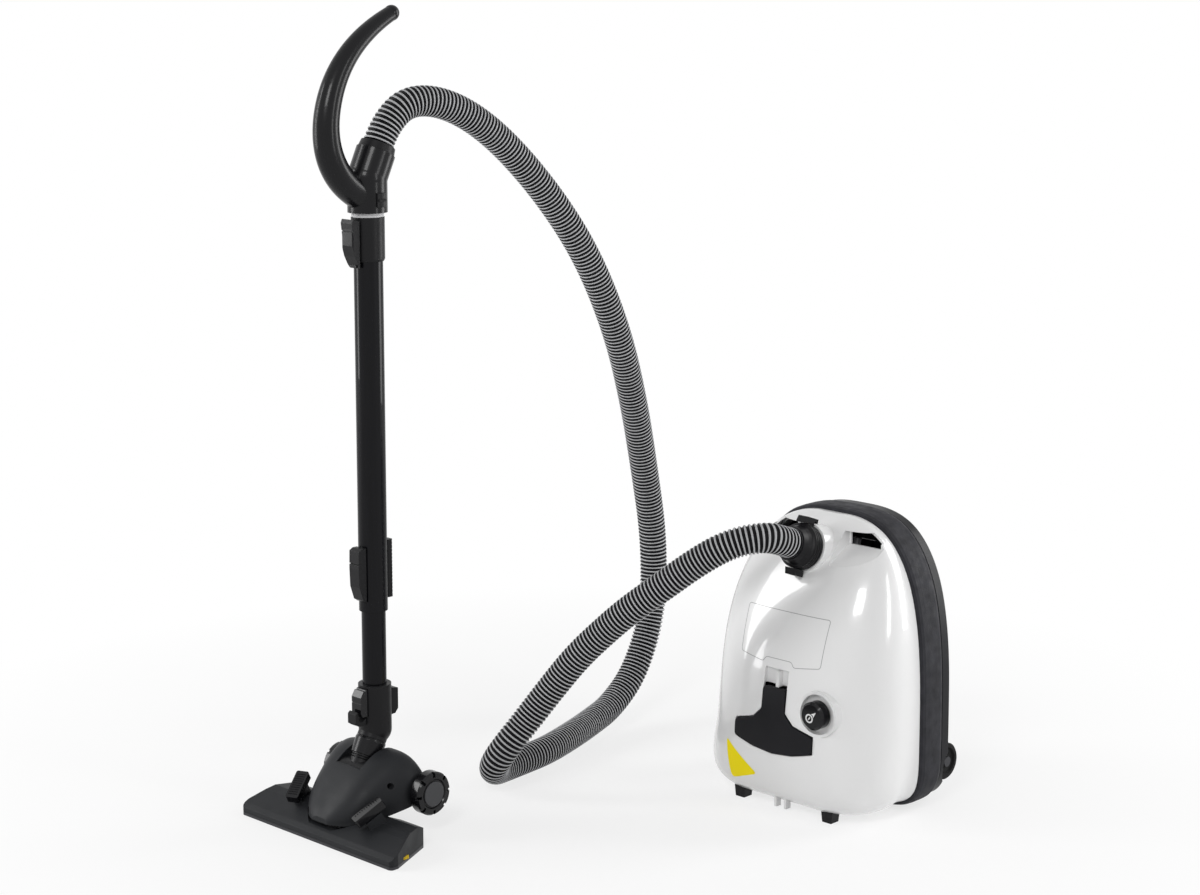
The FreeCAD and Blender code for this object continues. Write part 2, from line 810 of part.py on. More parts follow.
def hose_connector():
    """The hose's end piece: a ribbed collar, a tapering neck and the pipe inside the port."""
    seat = d.inlet_boss_height + 2.0 + GAP
    outer = d.connector_radius
    hose = d.hose_diameter / 2
    profile = [(d.air_radius, -34.0), (d.inlet_bore_radius - d.pin_gap, -34.0), (d.inlet_bore_radius - d.pin_gap, seat)]
    for rib in range(4):
        low = seat + 4.0 * rib
        profile += [(outer, low), (outer, low + 2.4), (outer - 1.6, low + 2.8), (outer - 1.6, low + 3.7)]
    profile += [
        (outer - 4.0, seat + 17.0),
        (hose + 4.5, seat + 23.0),
        (hose + 3.0, d.connector_end + 6.0),
        (hose + GAP, d.connector_end + 6.0),
        (hose + GAP, d.connector_end),
        (d.air_radius, d.connector_end),
    ]
    return turned(profile, INLET_PLACE, INLET_TURN)


def connector_latch(side):
    """A square looped lever that hooks the connector onto the inlet, above or below it."""
    low = d.inlet_boss_height - 4.0 if side > 0 else d.inlet_boss_height + 2.0
    high = d.inlet_boss_height + 22.0
    inner = d.connector_radius + GAP
    outer = inner + 9.0
    plate = [(inner, d.inlet_boss_height + 3.0), (inner, high), (outer, high - 3.0), (outer, low), (inner + 5.0, low),
             (inner + 5.0, d.inlet_boss_height + 3.0)]
    lever = prism("YZ", plate, (-8.5, 8.5))
    window = block((-5.0, 5.0), (inner + 2.5, outer + 1.0), (d.inlet_boss_height + 6.5, high - 6.0))
    hook = block((-8.5, 8.5), (d.inlet_boss_radius + 1.0, inner + 5.5), (low, low + 2.5))
    latch = lever.cut(window).fuse(hook)
    if side < 0:
        latch = latch.mirror(Vector(0, 0, 0), Vector(0, 1, 0))
    return moved(solid_of(latch), INLET_PLACE, INLET_TURN)



node("power_knob", power_knob(), CANISTER)
node("switch_shaft", switch_shaft(), CANISTER)
node("control_board", control_board(), CANISTER)
node("exhaust_filter", exhaust_filter(), CANISTER)
node("inlet_socket", inlet_socket(), CANISTER)
node("hose_connector", hose_connector(), CANISTER)
node("connector_latch_upper", connector_latch(1), CANISTER)
node("connector_latch_lower", connector_latch(-1), CANISTER)


# ---------------------------------------------------------------- canister: inside

def chamber_wall():
    """The partition between the motor room and the bag chamber, open above the motor."""
    plate = box((-118.0, 118.0), (16.0, d.belt_front + 40.0), (d.chamber_wall_height, d.chamber_wall_height + WALL))
    hole = cylinder(30.0, 20.0, (0, d.motor_y, d.chamber_wall_height - 5.0))
    return cut(plate, hole)


def motor_filter():
    low = d.chamber_wall_height + WALL + GAP
    frame = box((-52.0, 52.0), (d.motor_y - 45.0, d.motor_y + 40.0), (low, low + 13.0))
    slots = [
        box((-46.0, 46.0), (y, y + 5.0), (low + 5.0, low + 14.0))
        for y in [d.motor_y - 38.0 + 10.0 * k for k in range(7)]
    ]
    return cut(frame, *slots)


def motor_housing():
    """The motor's can, with a bearing seat below and vents round its foot."""
    bore = d.shaft_radius + d.pin_gap
    can = turned(
        [
            (bore, d.motor_bottom),
            (d.motor_radius, d.motor_bottom),
            (d.motor_radius, d.motor_top),
            (22.0, d.motor_top),
            (22.0, d.motor_top - WALL),
            (d.motor_radius - WALL, d.motor_top - WALL),
            (d.motor_radius - WALL, d.motor_bottom + WALL),
            (bore + 5.0, d.motor_bottom + WALL),
            (bore + 5.0, d.motor_bottom + 12.0),
            (bore, d.motor_bottom + 12.0),
        ]
    )
    vents = []
    for k in range(8):
        vent = block((d.motor_radius - 8.0, d.motor_radius + 4.0), (-7.0, 7.0), (d.motor_bottom + 14.0, d.motor_bottom + 30.0))
        vents.append(vent.rotate(Vector(0, 0, 0), Vector(0, 0, 1), 45.0 * k + 22.5))
    return moved(cut(can, *[solid_of(vent) for vent in vents]), (0, d.motor_y, 0))


def motor_rotor():
    low = d.motor_bottom - 4.0
    shaft = d.shaft_radius
    return turned(
        [
            (0.0, low),
            (shaft, low),
            (shaft, d.motor_bottom + 18.0),
            (14.0, d.motor_bottom + 18.0),
            (14.0, d.motor_bottom + 30.0),
            (26.0, d.motor_bottom + 32.0),
            (26.0, d.motor_bottom + 76.0),
            (shaft, d.motor_bottom + 78.0),
            (shaft, d.motor_top - 4.0),
            (0.0, d.motor_top - 4.0),
        ],
        (0, d.motor_y, 0),
    )


def motor_fan():
    """A centrifugal fan: back plate, front ring and backward-swept blades."""
    low = d.motor_top - 30.0
    bore = d.shaft_radius + d.pin_gap
    plate = ring(bore, d.fan_radius, low, low + 2.0)
    hub = ring(bore, bore + 6.0, low, low + 16.0)
    cover = ring(20.0, d.fan_radius, low + 14.0, low + 16.0)
    blades = []
    for k in range(9):
        blade = block((16.0, d.fan_radius), (-0.9, 0.9), (low + 1.0, low + 15.0))
        blade.rotate(Vector(16, 0, 0), Vector(0, 0, 1), 22.0)
        blade.rotate(Vector(0, 0, 0), Vector(0, 0, 1), 40.0 * k)
        blades.append(blade)
    rim = rod(d.fan_radius, (0, 0, low), 16.0)
    vanes = solid_of(blades[0].fuse(blades[1:]).common(rim))
    return moved(fuse(plate, hub, cover, vanes), (0, d.motor_y, 0))


def motor_mounts():
    """Rubber rings under and over the motor's can."""
    tail_inside = d.widest_height - d.body_below_widest + WALL + d.skirt_step + 8 * GAP
    lower = ring(d.motor_radius - 14.0, d.motor_radius - 6.0, tail_inside, d.motor_bottom - GAP)
    upper = ring(30.0, 40.0, d.motor_top + GAP, d.chamber_wall_height - GAP)
    return moved([lower, upper], (0, d.motor_y, 0))


def cord_reel():
    """The empty drum that the mains lead winds onto."""
    half = d.reel_width / 2
    bore = 5.0 + d.pin_gap
    return turned(
        [
            (bore, -half),
            (d.reel_radius, -half),
            (d.reel_radius, -half + 2.0),
            (20.0, -half + 2.0),
            (20.0, half - 2.0),
            (d.reel_radius, half - 2.0),
            (d.reel_radius, half),
            (bore, half),
        ],
        (-84.0, d.motor_y, 95.0),
        TURNS["x"],
    )


def reel_axle():
    axle = cylinder(5.0, d.reel_width + 12.0, (-106.0, d.motor_y, 95.0), "x")
    plate = box((-110.0, -106.0), (d.motor_y - 8.0, belly_back - WALL - GAP), (83.0, 107.0))
    return fuse(axle, plate)


def bag_holder():
    """The plate that the dust bag's collar slides into, behind the inlet."""
    plate = box((-42.0, 42.0), (-38.0, 30.0), (-44.0 - WALL, -40.0 - GAP))
    hole = cylinder(d.inlet_bore_radius, 20.0, (0, 0, -55.0))
    return moved(cut(plate, hole), INLET_PLACE, INLET_TURN)


def dust_bag():
    bag = box((-88.0, 88.0), (46.0, 150.0), (d.chamber_wall_height + 16.6, d.chamber_wall_height + 107.9))
    return softened(bag, 22.0, lambda edge: True)


def bag_door():
    """The bag chamber's door in the underside, on a pin along its lower edge."""
    pin_y, pin_z = door_pin_place
    panel = box((-d.door_half_width, d.door_half_width), (belly_back - WALL, belly_back), (d.door_low, d.door_high))
    ribs = [
        box((x - 1.5, x + 1.5), (belly_back - WALL - 5.0, belly_back - WALL), (d.door_low + 12.0, d.door_high - 22.0))
        for x in (-36.0, -12.0, 12.0, 36.0)
    ]
    knuckle = cylinder(4.0, 60.0, (-30.0, pin_y, pin_z), "x")
    web = box((-30.0, 30.0), (belly_back - WALL, pin_y), (d.door_low, d.door_low + 4.0))
    bore = cylinder(d.door_pin_radius + d.pin_gap, 80.0, (-40.0, pin_y, pin_z), "x")
    latch_slot = box((-12.3, 12.3), (belly_back - WALL - 1.0, belly_back + 1.0), (d.door_high - 18.0, d.door_high + 1.0))
    return cut(fuse(panel, knuckle, web, *ribs), bore, latch_slot)


def door_pin():
    pin_y, pin_z = door_pin_place
    return cylinder(d.door_pin_radius, 73.4, (-36.7, pin_y, pin_z), "x")


def door_latch():
    """A sliding catch in the door, whose nose reaches behind the housing."""
    thumb = box((-12.0, 12.0), (belly_back - WALL, belly_back + 2.0), (d.door_high - 13.0, d.door_high - 0.5))
    nose = box((-8.0, 8.0), (belly_back - WALL - 3.0, belly_back - WALL), (d.door_high - 13.0, d.door_high))
    grooves = [
        box((-9.0, 9.0), (belly_back + 1.0, belly_back + 3.0), (z, z + 1.4))
        for z in [d.door_high - 11.0 + 3.0 * k for k in range(3)]
    ]
    return cut(fuse(thumb, nose), *grooves)


node("chamber_wall", chamber_wall(), CANISTER)
node("motor_filter", motor_filter(), CANISTER)
node("motor_housing", motor_housing(), CANISTER)
node("motor_rotor", motor_rotor(), CANISTER)
node("motor_fan", motor_fan(), CANISTER)
node("motor_mounts", motor_mounts(), CANISTER)
node("cord_reel", cord_reel(), CANISTER)
node("reel_axle", reel_axle(), CANISTER)
node("bag_holder", bag_holder(), CANISTER)
node("dust_bag", dust_bag(), CANISTER)
node("bag_door", bag_door(), CANISTER)
node("door_pin", door_pin(), CANISTER)
node("door_latch", door_latch(), CANISTER)


# ---------------------------------------------------------------- canister: wheels

def rear_wheel():
    """A moulded wheel with a soft tread band and a dished face."""
    radius, width = d.rear_wheel_radius, d.rear_wheel_width
    bore = d.rear_axle_radius + d.pin_gap
    return turned(
        [
            (bore, 0.0),
            (radius - 1.5, 0.0),
            (radius, 1.5),
            (radius, width - 1.5),
            (radius - 1.5, width),
            (radius - 6.0, width),
            (radius - 8.0, width - 3.0),
            (bore + 6.0, width - 3.0),
            (bore + 5.0, width),
            (bore, width),
        ],
        (d.rear_wheel_inner, d.rear_wheel_y, d.rear_wheel_z),
        TURNS["x"],
    )


def rear_axle():
    """A pin from the boss inside the wheel well out to its retaining head."""
    length = d.rear_wheel_width + 16.0 + 3.0
    return turned(
        [
            (0.0, -length + d.rear_wheel_width),
            (d.rear_axle_radius, -length + d.rear_wheel_width),
            (d.rear_axle_radius, d.rear_wheel_width + GAP),
            (d.rear_axle_radius + 3.0, d.rear_wheel_width + GAP),
            (d.rear_axle_radius + 3.0, d.rear_wheel_width + 2.0),
            (0.0, d.rear_wheel_width + 2.0),
        ],
        (d.rear_wheel_inner, d.rear_wheel_y, d.rear_wheel_z),
        TURNS["x"],
    )


def castor_fork():
    """A swivel plate with its stem and two cheeks for the castor's wheel."""
    base_y = belly_back + GAP
    wheel_y = base_y + d.castor_reach
    stem = cylinder(d.castor_stem_radius, 14.0, (d.castor_x, belly_back - 14.0 + GAP, d.castor_z), "y")
    base = cylinder(14.0, 3.0, (d.castor_x, base_y, d.castor_z), "y")
    half = d.castor_wheel_width / 2
    cheeks = []
    for low in (d.castor_x - half - 3.0, d.castor_x + half + 0.5):
        arm = box((low, low + 2.5), (base_y, wheel_y), (d.castor_z - d.castor_trail - 5.0, d.castor_z + 4.0))
        end = cylinder(5.0, 2.5, (low, wheel_y, d.castor_z - d.castor_trail), "x")
        cheeks.append(fuse(arm, end))
    bore = cylinder(2.5 + d.pin_gap, 40.0, (d.castor_x - 20.0, wheel_y, d.castor_z - d.castor_trail), "x")
    return cut(fuse(stem, base, *cheeks), bore)


def castor_wheel():
    half = d.castor_wheel_width / 2
    wheel_y = belly_back + GAP + d.castor_reach
    centre = d.castor_z - d.castor_trail
    tread = cylinder(d.castor_radius, d.castor_wheel_width, (d.castor_x - half, wheel_y, centre), "x")
    axle = cylinder(2.5, d.castor_wheel_width + 6.0, (d.castor_x - half - 3.0, wheel_y, centre), "x")
    return fuse(softened(tread, 2.0, lambda edge: edge.Curve.TypeId == "Part::GeomCircle"), axle)


node("rear_wheel_right", rear_wheel(), CANISTER)
node("rear_wheel_left", mirrored(rear_wheel()), CANISTER)
node("rear_axles", [rear_axle(), mirrored(rear_axle())], CANISTER)
node("castor_fork_right", castor_fork(), CANISTER)
node("castor_fork_left", mirrored(castor_fork()), CANISTER)
node("castor_wheel_right", castor_wheel(), CANISTER)
node("castor_wheel_left", mirrored(castor_wheel()), CANISTER)


# ---------------------------------------------------------------- handle and telescopic tube

HANDLE_TURN = Rotation(Vector(1, 0, 0), -float(d.handle_tilt))
HANDLE_PLACE = (0, 0, d.handle_bend)
CUFF_ROOT = 10.0
CUFF_END = d.handle_socket_length + d.handle_lip


def grip_path():
    """Centres and radii of the bow-shaped grip, in the plane X = 0, from its root to its tip."""
    foot = float(d.handle_bend)
    return [
        (4.0, foot - 30.0, 19.0),
        (-26.0, foot - 14.0, 19.0),
        (-52.0, foot + 12.0, 18.5),
        (-66.0, foot + 52.0, 17.5),
        (-63.0, foot + 92.0, 16.5),
        (-47.0, foot + 132.0, 15.0),
        (-18.0, foot + 168.0, 13.0),
        (20.0, foot + 196.0, 11.0),
        (45.0, foot + 209.0, 10.4),
    ]


def grip_shape():
    """The grip, lofted through round sections that stand square to its path, with a ball tip."""
    stations = grip_path()
    wires = []
    for k, (y, z, radius) in enumerate(stations):
        before = stations[max(k - 1, 0)]
        after = stations[min(k + 1, len(stations) - 1)]
        heading = Vector(0, after[0] - before[0], after[1] - before[1])
        circle = Part.makeCircle(radius if k < len(stations) - 1 else radius - 0.4)
        circle.Placement = Placement(Vector(0, y, z), Rotation(Vector(0, 0, 1), heading))
        wires.append(Part.Wire([circle]))
    tip_y, tip_z, tip_radius = stations[-1]
    return Part.makeLoft(wires, True).fuse(Part.makeSphere(tip_radius, Vector(0, tip_y, tip_z)))


def handle_shapes():
    """The handle's two mirror halves, split at X = 0, with the air way through them."""
    spigot = d.upper_tube_radius - d.tube_wall - GAP
    low = d.handle_bottom
    bend = Vector(0, 0, float(d.handle_bend))
    lean = Vector(0, math.sin(math.radians(float(d.handle_tilt))), math.cos(math.radians(float(d.handle_tilt))))
    body = rod(d.handle_radius, (0, 0, low), d.handle_bend - low)
    body = body.fuse(
        [
            Part.makeSphere(float(d.handle_radius) + 0.3, bend),
            rod(d.handle_radius, bend, d.handle_socket_length, lean),
            rod(spigot, (0, 0, sleeve_bottom + 22.0), low - sleeve_bottom - 21.0),
            grip_shape(),
        ]
    )
    air = float(d.air_radius) - 2.0
    way = rod(air, (0, 0, sleeve_bottom), d.handle_bend - sleeve_bottom).fuse(
        [
            Part.makeSphere(air + 0.3, bend),
            rod(air, bend, OPEN, lean),
            rod(d.inlet_bore_radius + d.pin_gap, bend + lean * CUFF_ROOT, OPEN, lean),
        ]
    )
    seam = float(d.handle_seam) / 2
    return body.cut(way).common(block((seam, OPEN), (-2 * OPEN, 2 * OPEN), (low - OPEN, low + 4 * OPEN)))


def hose_cuff():
    """The ring and pipe that hold the hose's end in the handle."""
    hose = d.hose_diameter / 2
    seat = d.handle_socket_length + GAP
    return turned(
        [
            (d.air_radius, CUFF_ROOT + GAP),
            (d.inlet_bore_radius, CUFF_ROOT + GAP),
            (d.inlet_bore_radius, seat),
            (d.handle_radius - 1.5, seat),
            (d.handle_radius - 3.0, CUFF_END + d.hose_seat_depth),
            (hose + GAP, CUFF_END + d.hose_seat_depth),
            (hose + GAP, CUFF_END),
            (d.air_radius, CUFF_END),
        ],
        HANDLE_PLACE,
        HANDLE_TURN,
    )


def relief_slider():
    """The suction relief: a curved slider over a slot at the handle's side."""
    outer, inner = d.handle_radius + 3.0, d.handle_radius + GAP
    low = d.handle_bottom + 8.0
    band = ring(inner, outer, low, low + 18.0)
    window = box((0.0, outer + 1.0), (-7.0, 7.0), (low - 1.0, low + 20.0))
    ridge = box((outer - 0.8, outer + 1.5), (-6.0, 6.0), (low + 7.5, low + 10.5))
    return fuse(common(band, window), ridge)


def tube_socket():
    """The tube's upper end sleeve and the pale ring between it and the handle."""
    tube = d.upper_tube_radius
    sleeve = turned(
        [
            (tube - d.tube_wall, d.upper_tube_top + GAP),
            (tube + d.pin_gap, d.upper_tube_top + GAP),
            (tube + d.pin_gap, sleeve_bottom),
            (d.socket_radius - 1.5, sleeve_bottom),
            (d.socket_radius, sleeve_bottom + 3.0),
            (d.socket_radius, d.socket_top),
            (tube - d.tube_wall, d.socket_top),
        ]
    )
    collar = ring(tube - d.tube_wall, d.socket_radius - 0.8, d.socket_top + GAP, d.handle_bottom - GAP)
    return [sleeve, collar]


def tube_latch():
    """The release lever on the front of the sleeve, a wedge with a thumb step."""
    front = d.socket_radius + GAP
    side = [
        (-front, d.socket_top - 4.0),
        (-front - 12.0, d.socket_top - 1.0),
        (-front - 14.0, d.socket_top - 6.0),
        (-front - 13.0, d.socket_top - 14.0),
        (-front - 13.0, sleeve_bottom + 22.0),
        (-front - 9.0, sleeve_bottom + 8.0),
        (-front - 4.0, sleeve_bottom - 2.0),
        (-front, sleeve_bottom - 8.0),
    ]
    lever = padded("YZ", side, (-11.0, 11.0))
    groove = box((-12.0, 12.0), (-front - 15.0, -front - 11.5), (d.socket_top - 17.0, d.socket_top - 15.5))
    knuckle = cylinder(2.0, 12.0, (-6.0, -front - 2.1, sleeve_bottom - 5.0), "x")
    return fuse(cut(softened(lever, 2.0, along("z")), groove), knuckle)


def upper_tube():
    return ring(
        d.upper_tube_radius - d.tube_wall, d.upper_tube_radius, d.upper_tube_bottom, d.upper_tube_top
    )


def telescope_latch():
    """The sprung rocker that frees the telescopic tube."""
    front = d.upper_tube_radius + GAP
    low = d.upper_tube_bottom + 14.0
    side = [
        (-front, low),
        (-front - 6.0, low + 4.0),
        (-front - 12.0, low + 22.0),
        (-front - 13.0, low + 46.0),
        (-front - 12.5, low + 70.0),
        (-front - 7.0, low + 73.0),
        (-front, low + 73.0),
    ]
    rocker = padded("YZ", side, (-9.5, 9.5))
    groove = box((-10.0, 10.0), (-front - 14.0, -front - 11.0), (low + 52.0, low + 53.5))
    return cut(rocker, groove)


def telescope_grip():
    """The ribbed finger piece behind the tube, opposite the rocker."""
    back = d.upper_tube_radius + GAP
    low = d.upper_tube_bottom + 14.0
    plate = box((-8.0, 8.0), (back - 4.0, back + 9.0), (low, low + 78.0))
    tube = cylinder(back, 90.0, (0, 0, low - 5.0))
    shaped = softened(cut(plate, tube), 2.5, along("z"))
    grooves = [
        box((-9.0, 9.0), (back + 7.4, back + 10.0), (z, z + 2.0))
        for z in [low + 4.0 + 5.0 * k for k in range(15)]
    ]
    return cut(shaped, *grooves)


def lower_tube():
    """The inner tube, with the small catch nub on its rear side."""
    tube = ring(d.lower_tube_radius - d.tube_wall, d.lower_tube_radius, d.lower_tube_bottom, d.lower_tube_top)
    guide = ring(
        d.lower_tube_radius,
        d.upper_tube_radius - d.tube_wall - d.pin_gap,
        d.lower_tube_top - 60.0,
        d.lower_tube_top,
    )
    nub = ball(3.0, (0, d.lower_tube_radius - 0.6, d.elbow_top + 26.0))
    way = cylinder(d.lower_tube_radius - d.tube_wall, 80.0, (0, 0, d.elbow_top))
    return fuse(tube, guide, cut(nub, way))


half_handle = handle_shapes()
node("handle_shell_right", solid_of(half_handle), WAND)
node("handle_shell_left", solid_of(flipped(half_handle)), WAND)
node("hose_cuff", hose_cuff(), WAND)
node("relief_slider", relief_slider(), WAND)
node("tube_socket", tube_socket(), WAND)
node("tube_latch", tube_latch(), WAND)
node("upper_tube", upper_tube(), WAND)
node("telescope_latch", telescope_latch(), WAND)
node("telescope_grip", telescope_grip(), WAND)
node("lower_tube", lower_tube(), WAND)


# ---------------------------------------------------------------- nozzle: elbow and neck

# The neck's frame has its origin at the elbow's bend and its Z axis along the swivel.
NECK_TURN = Rotation(Vector(1, 0, 0), -float(d.neck_tilt))
NECK_PLACE = (0, 0, d.bend_height)
PIVOT_Y = -math.sin(math.radians(float(d.neck_tilt))) * d.neck_length
PIVOT_Z = d.bend_height - math.cos(math.radians(float(d.neck_tilt))) * d.neck_length
TUBE_STOP = d.lower_tube_bottom - GAP


def elbow_socket():
    """The socket that holds the tube's lower end, bending into the swivel's spigot."""
    bore = d.lower_tube_radius + d.pin_gap
    socket = cylinder(d.elbow_radius, d.elbow_top - d.bend_height, NECK_PLACE)
    bend = ball(d.elbow_radius, NECK_PLACE)
    spigot = moved(cylinder(d.neck_radius, 36.0, (0, 0, -36.0)), NECK_PLACE, NECK_TURN)
    foot = moved(cylinder(d.collar_radius, 14.7, (0, 0, -14.7)), NECK_PLACE, NECK_TURN)
    fin_side = [
        (0.0, d.bend_height + 14.0),
        (d.elbow_radius + 6.0, d.bend_height + 16.0),
        (d.elbow_radius + 11.0, d.bend_height + 22.0),
        (d.elbow_radius + 11.0, d.elbow_top - 12.0),
        (0.0, d.elbow_top - 5.0),
    ]
    fin = padded("YZ", fin_side, (-9.0, 9.0))
    tube_bore = cylinder(bore, OPEN, (0, 0, TUBE_STOP))
    air = ball(13.3, NECK_PLACE)
    air_up = cylinder(13.0, TUBE_STOP - d.bend_height + 1.0, NECK_PLACE)
    air_down = moved(cylinder(13.0, 50.0, (0, 0, -50.0)), NECK_PLACE, NECK_TURN)
    teeth = [
        box((9.0, 14.0), (d.elbow_radius - 8.0, d.elbow_radius + 4.0), (z, z + 1.6))
        for z in [d.bend_height + 18.0 + 3.4 * k for k in range(11)]
    ]
    latch_bay = box((-9.5, 9.5), (-OPEN, -d.lower_tube_radius - 3.0), (d.bend_height + 20.0, d.elbow_top - 3.0))
    return cut(fuse(socket, bend, foot, spigot, fin), tube_bore, air, air_up, air_down, latch_bay, *teeth)


def elbow_latch():
    """The front lever that lets go of the lower tube."""
    front = d.lower_tube_radius + 3.0 + GAP
    low, high = d.bend_height + 22.0, d.elbow_top - 5.0
    side = [
        (-front, low),
        (-front - 10.0, low),
        (-front - 13.0, low + 6.0),
        (-front - 13.0, high - 8.0),
        (-front - 8.0, high),
        (-front, high),
    ]
    lever = padded("YZ", side, (-9.0, 9.0))
    groove = box((-10.0, 10.0), (-front - 14.0, -front - 12.0), (low + 18.0, low + 19.4))
    knuckle = cylinder(2.2, 18.0, (-9.0, -front - 2.7, high - 0.5), "x")
    return fuse(cut(lever, groove), knuckle)


def park_hook():
    """The hook below the latch that hangs the nozzle on the canister."""
    front = d.elbow_radius + GAP
    low = d.bend_height + 10.5
    side = [
        (-front, low + 9.0),
        (-front, low),
        (-front - 12.0, low),
        (-front - 18.0, low + 4.0),
        (-front - 18.0, low + 17.0),
        (-front - 14.6, low + 20.0),
        (-front - 13.5, low + 9.0),
        (-front - 8.0, low + 5.0),
    ]
    return padded("YZ", side, (-8.0, 8.0))


def swivel_collar():
    """The smooth sleeve that turns round the spigot."""
    bore = d.neck_radius + d.pin_gap
    return turned(
        [
            (bore, -15.0),
            (d.collar_radius, -15.0),
            (d.collar_radius + 1.0, -18.0),
            (d.collar_radius, -38.0),
            (bore, -38.0),
        ],
        NECK_PLACE,
        NECK_TURN,
    )


def neck():
    """The ribbed neck and the round barrel that tilts between the nozzle's cheeks."""
    top = -38.0 - GAP
    root = d.barrel_radius - d.neck_length
    profile = [(12.0, root - 8.0), (12.0, top), (d.neck_radius + 1.5, top)]
    for rib in range(2):
        low = top - 2.2 - 3.0 * rib
        profile += [(d.neck_radius + 1.5, low), (d.neck_radius - 1.0, low - 0.2), (d.neck_radius - 1.0, low - 1.0),
                    (d.neck_radius + 1.5, low - 1.2)]
    profile += [(d.neck_radius + 1.5, root - 8.0)]
    stem = turned(profile)
    barrel = cylinder(d.barrel_radius, 2 * d.barrel_half_width, (-d.barrel_half_width, 0, -d.neck_length), "x")
    pin_bore = cylinder(d.neck_pin_radius + d.pin_gap, OPEN, (-OPEN / 2, 0, -d.neck_length), "x")
    return moved(cut(fuse(stem, barrel), pin_bore), NECK_PLACE, NECK_TURN)


node("elbow_socket", elbow_socket(), WAND)
node("elbow_latch", elbow_latch(), WAND)
node("park_hook", park_hook(), WAND)
node("swivel_collar", swivel_collar(), WAND)
node("neck", neck(), WAND)


# ---------------------------------------------------------------- nozzle: cover, wheels and sole

def cover_plan(grow):
    """The cover's shield shape from above, narrow at the front."""
    right = [(half + grow, y) for y, half, _, _ in COVER_LEVELS]
    right[0] = (right[0][0], right[0][1] - grow)
    left = [(-half, y) for half, y in reversed(right)]
    return right + left


COVER_LEVELS = [
    (-98.0, 15.0, 31.0, 3.2),
    (-92.0, 28.0, 41.0, 3.2),
    (-80.0, 44.0, 57.0, 3.3),
    (-62.0, 55.5, 77.0, 3.5),
    (-38.0, 65.0, 97.0, 3.8),
    (-14.0, 74.0, 107.5, 4.2),
    (4.0, 78.2, 107.0, 4.5),
    (17.0, 79.1, 98.0, 4.5),
    (30.0, 77.0, 75.0, 4.0),
]
COVER_BASE = 24.0


def cover_row(y, half, top, squareness, steps=10):
    """Points over the cover at one depth, a squarish arch from its left foot to its right."""
    row = []
    for k in range(steps + 1):
        turn = math.pi * k / steps
        out = rounded_reach(turn, squareness)
        height = COVER_BASE + (top - COVER_BASE) * out * math.sin(turn)
        row.append(Vector(-half * out * math.cos(turn), y, height))
    row[0].z = row[-1].z = COVER_BASE
    return row


def nozzle_cover():
    """The rounded cover with its neck slot, wheel arms and front knuckle."""
    hinge = (-12.0, -d.sole_hinge_y, d.sole_hinge_z)
    wheel = (3.0 - d.nozzle_wheel_inner, wheel_y, wheel_z)
    form = capped([cover_row(*level) for level in COVER_LEVELS])
    form = form.fuse(
        [
            rod(11.5, wheel, 2 * d.nozzle_wheel_inner - 6.0, (1, 0, 0)),
            rod(6.0, hinge, 24.0, (1, 0, 0)),
        ]
    )
    slot_side = [
        (PIVOT_Y - 24.0, PIVOT_Z - 23.5),
        (PIVOT_Y - 24.0, PIVOT_Z + 4.0),
        (PIVOT_Y + 1.0, PIVOT_Z + 50.0),
        (60.0, PIVOT_Z + 50.0),
        (60.0, PIVOT_Z - 23.5),
    ]
    return solid_of(
        form.cut(
            [
                prism("YZ", slot_side, (-d.cheek_inner, d.cheek_inner)),
                rod(d.neck_pin_radius + d.pin_gap, (-OPEN, PIVOT_Y, PIVOT_Z), 2 * OPEN, (1, 0, 0)),
                rod(d.rear_axle_radius + d.pin_gap, (-OPEN, wheel_y, wheel_z), 2 * OPEN, (1, 0, 0)),
                rod(d.sole_pin_radius + d.pin_gap, (-30.0, -d.sole_hinge_y, d.sole_hinge_z), 60.0, (1, 0, 0)),
                rod(7.2, (-26.0, -d.sole_hinge_y, d.sole_hinge_z), 14.0, (1, 0, 0)),
                rod(7.2, (12.0, -d.sole_hinge_y, d.sole_hinge_z), 14.0, (1, 0, 0)),
                prism("YZ", [(10.0 - d.sole_hinge_y, 0.0), (10.0 - d.sole_hinge_y, 24.0), (60.0, 56.0), (60.0, 0.0)],
                      (-OPEN, OPEN)),
            ]
        )
    )


def neck_pin():
    return cylinder(
        d.neck_pin_radius, 2 * d.neck_pin_half_length, (-d.neck_pin_half_length, PIVOT_Y, PIVOT_Z), "x"
    )


def nozzle_wheel():
    """A wheel with a grooved ring of eight notches and a flat hub disc."""
    radius, width = d.nozzle_wheel_radius, d.nozzle_wheel_width
    bore = d.rear_axle_radius + d.pin_gap
    wheel = turned(
        [
            (bore, 0.0),
            (radius - 1.0, 0.0),
            (radius, 1.5),
            (radius, width - 3.0),
            (radius - 2.0, width - 0.5),
            (radius - 9.0, width),
            (radius - 10.5, width - 2.0),
            (radius - 12.0, width - 2.0),
            (radius - 12.5, width),
            (0.0, width),
            (0.0, width - 2.7),
            (bore, width - 2.7),
        ]
    )
    notches = []
    for k in range(8):
        notch = block((radius - 7.0, radius + 1.0), (-2.0, 2.0), (width - 5.0, width + 1.0))
        notches.append(notch.rotate(Vector(0, 0, 0), Vector(0, 0, 1), 45.0 * k))
    notched = cut(wheel, *[solid_of(notch) for notch in notches])
    return moved(notched, (d.nozzle_wheel_inner, wheel_y, wheel_z), TURNS["x"])


def nozzle_axle():
    return cylinder(
        d.rear_axle_radius, d.nozzle_wheel_inner + d.nozzle_wheel_width - 31.0, (28.0, wheel_y, wheel_z), "x"
    )


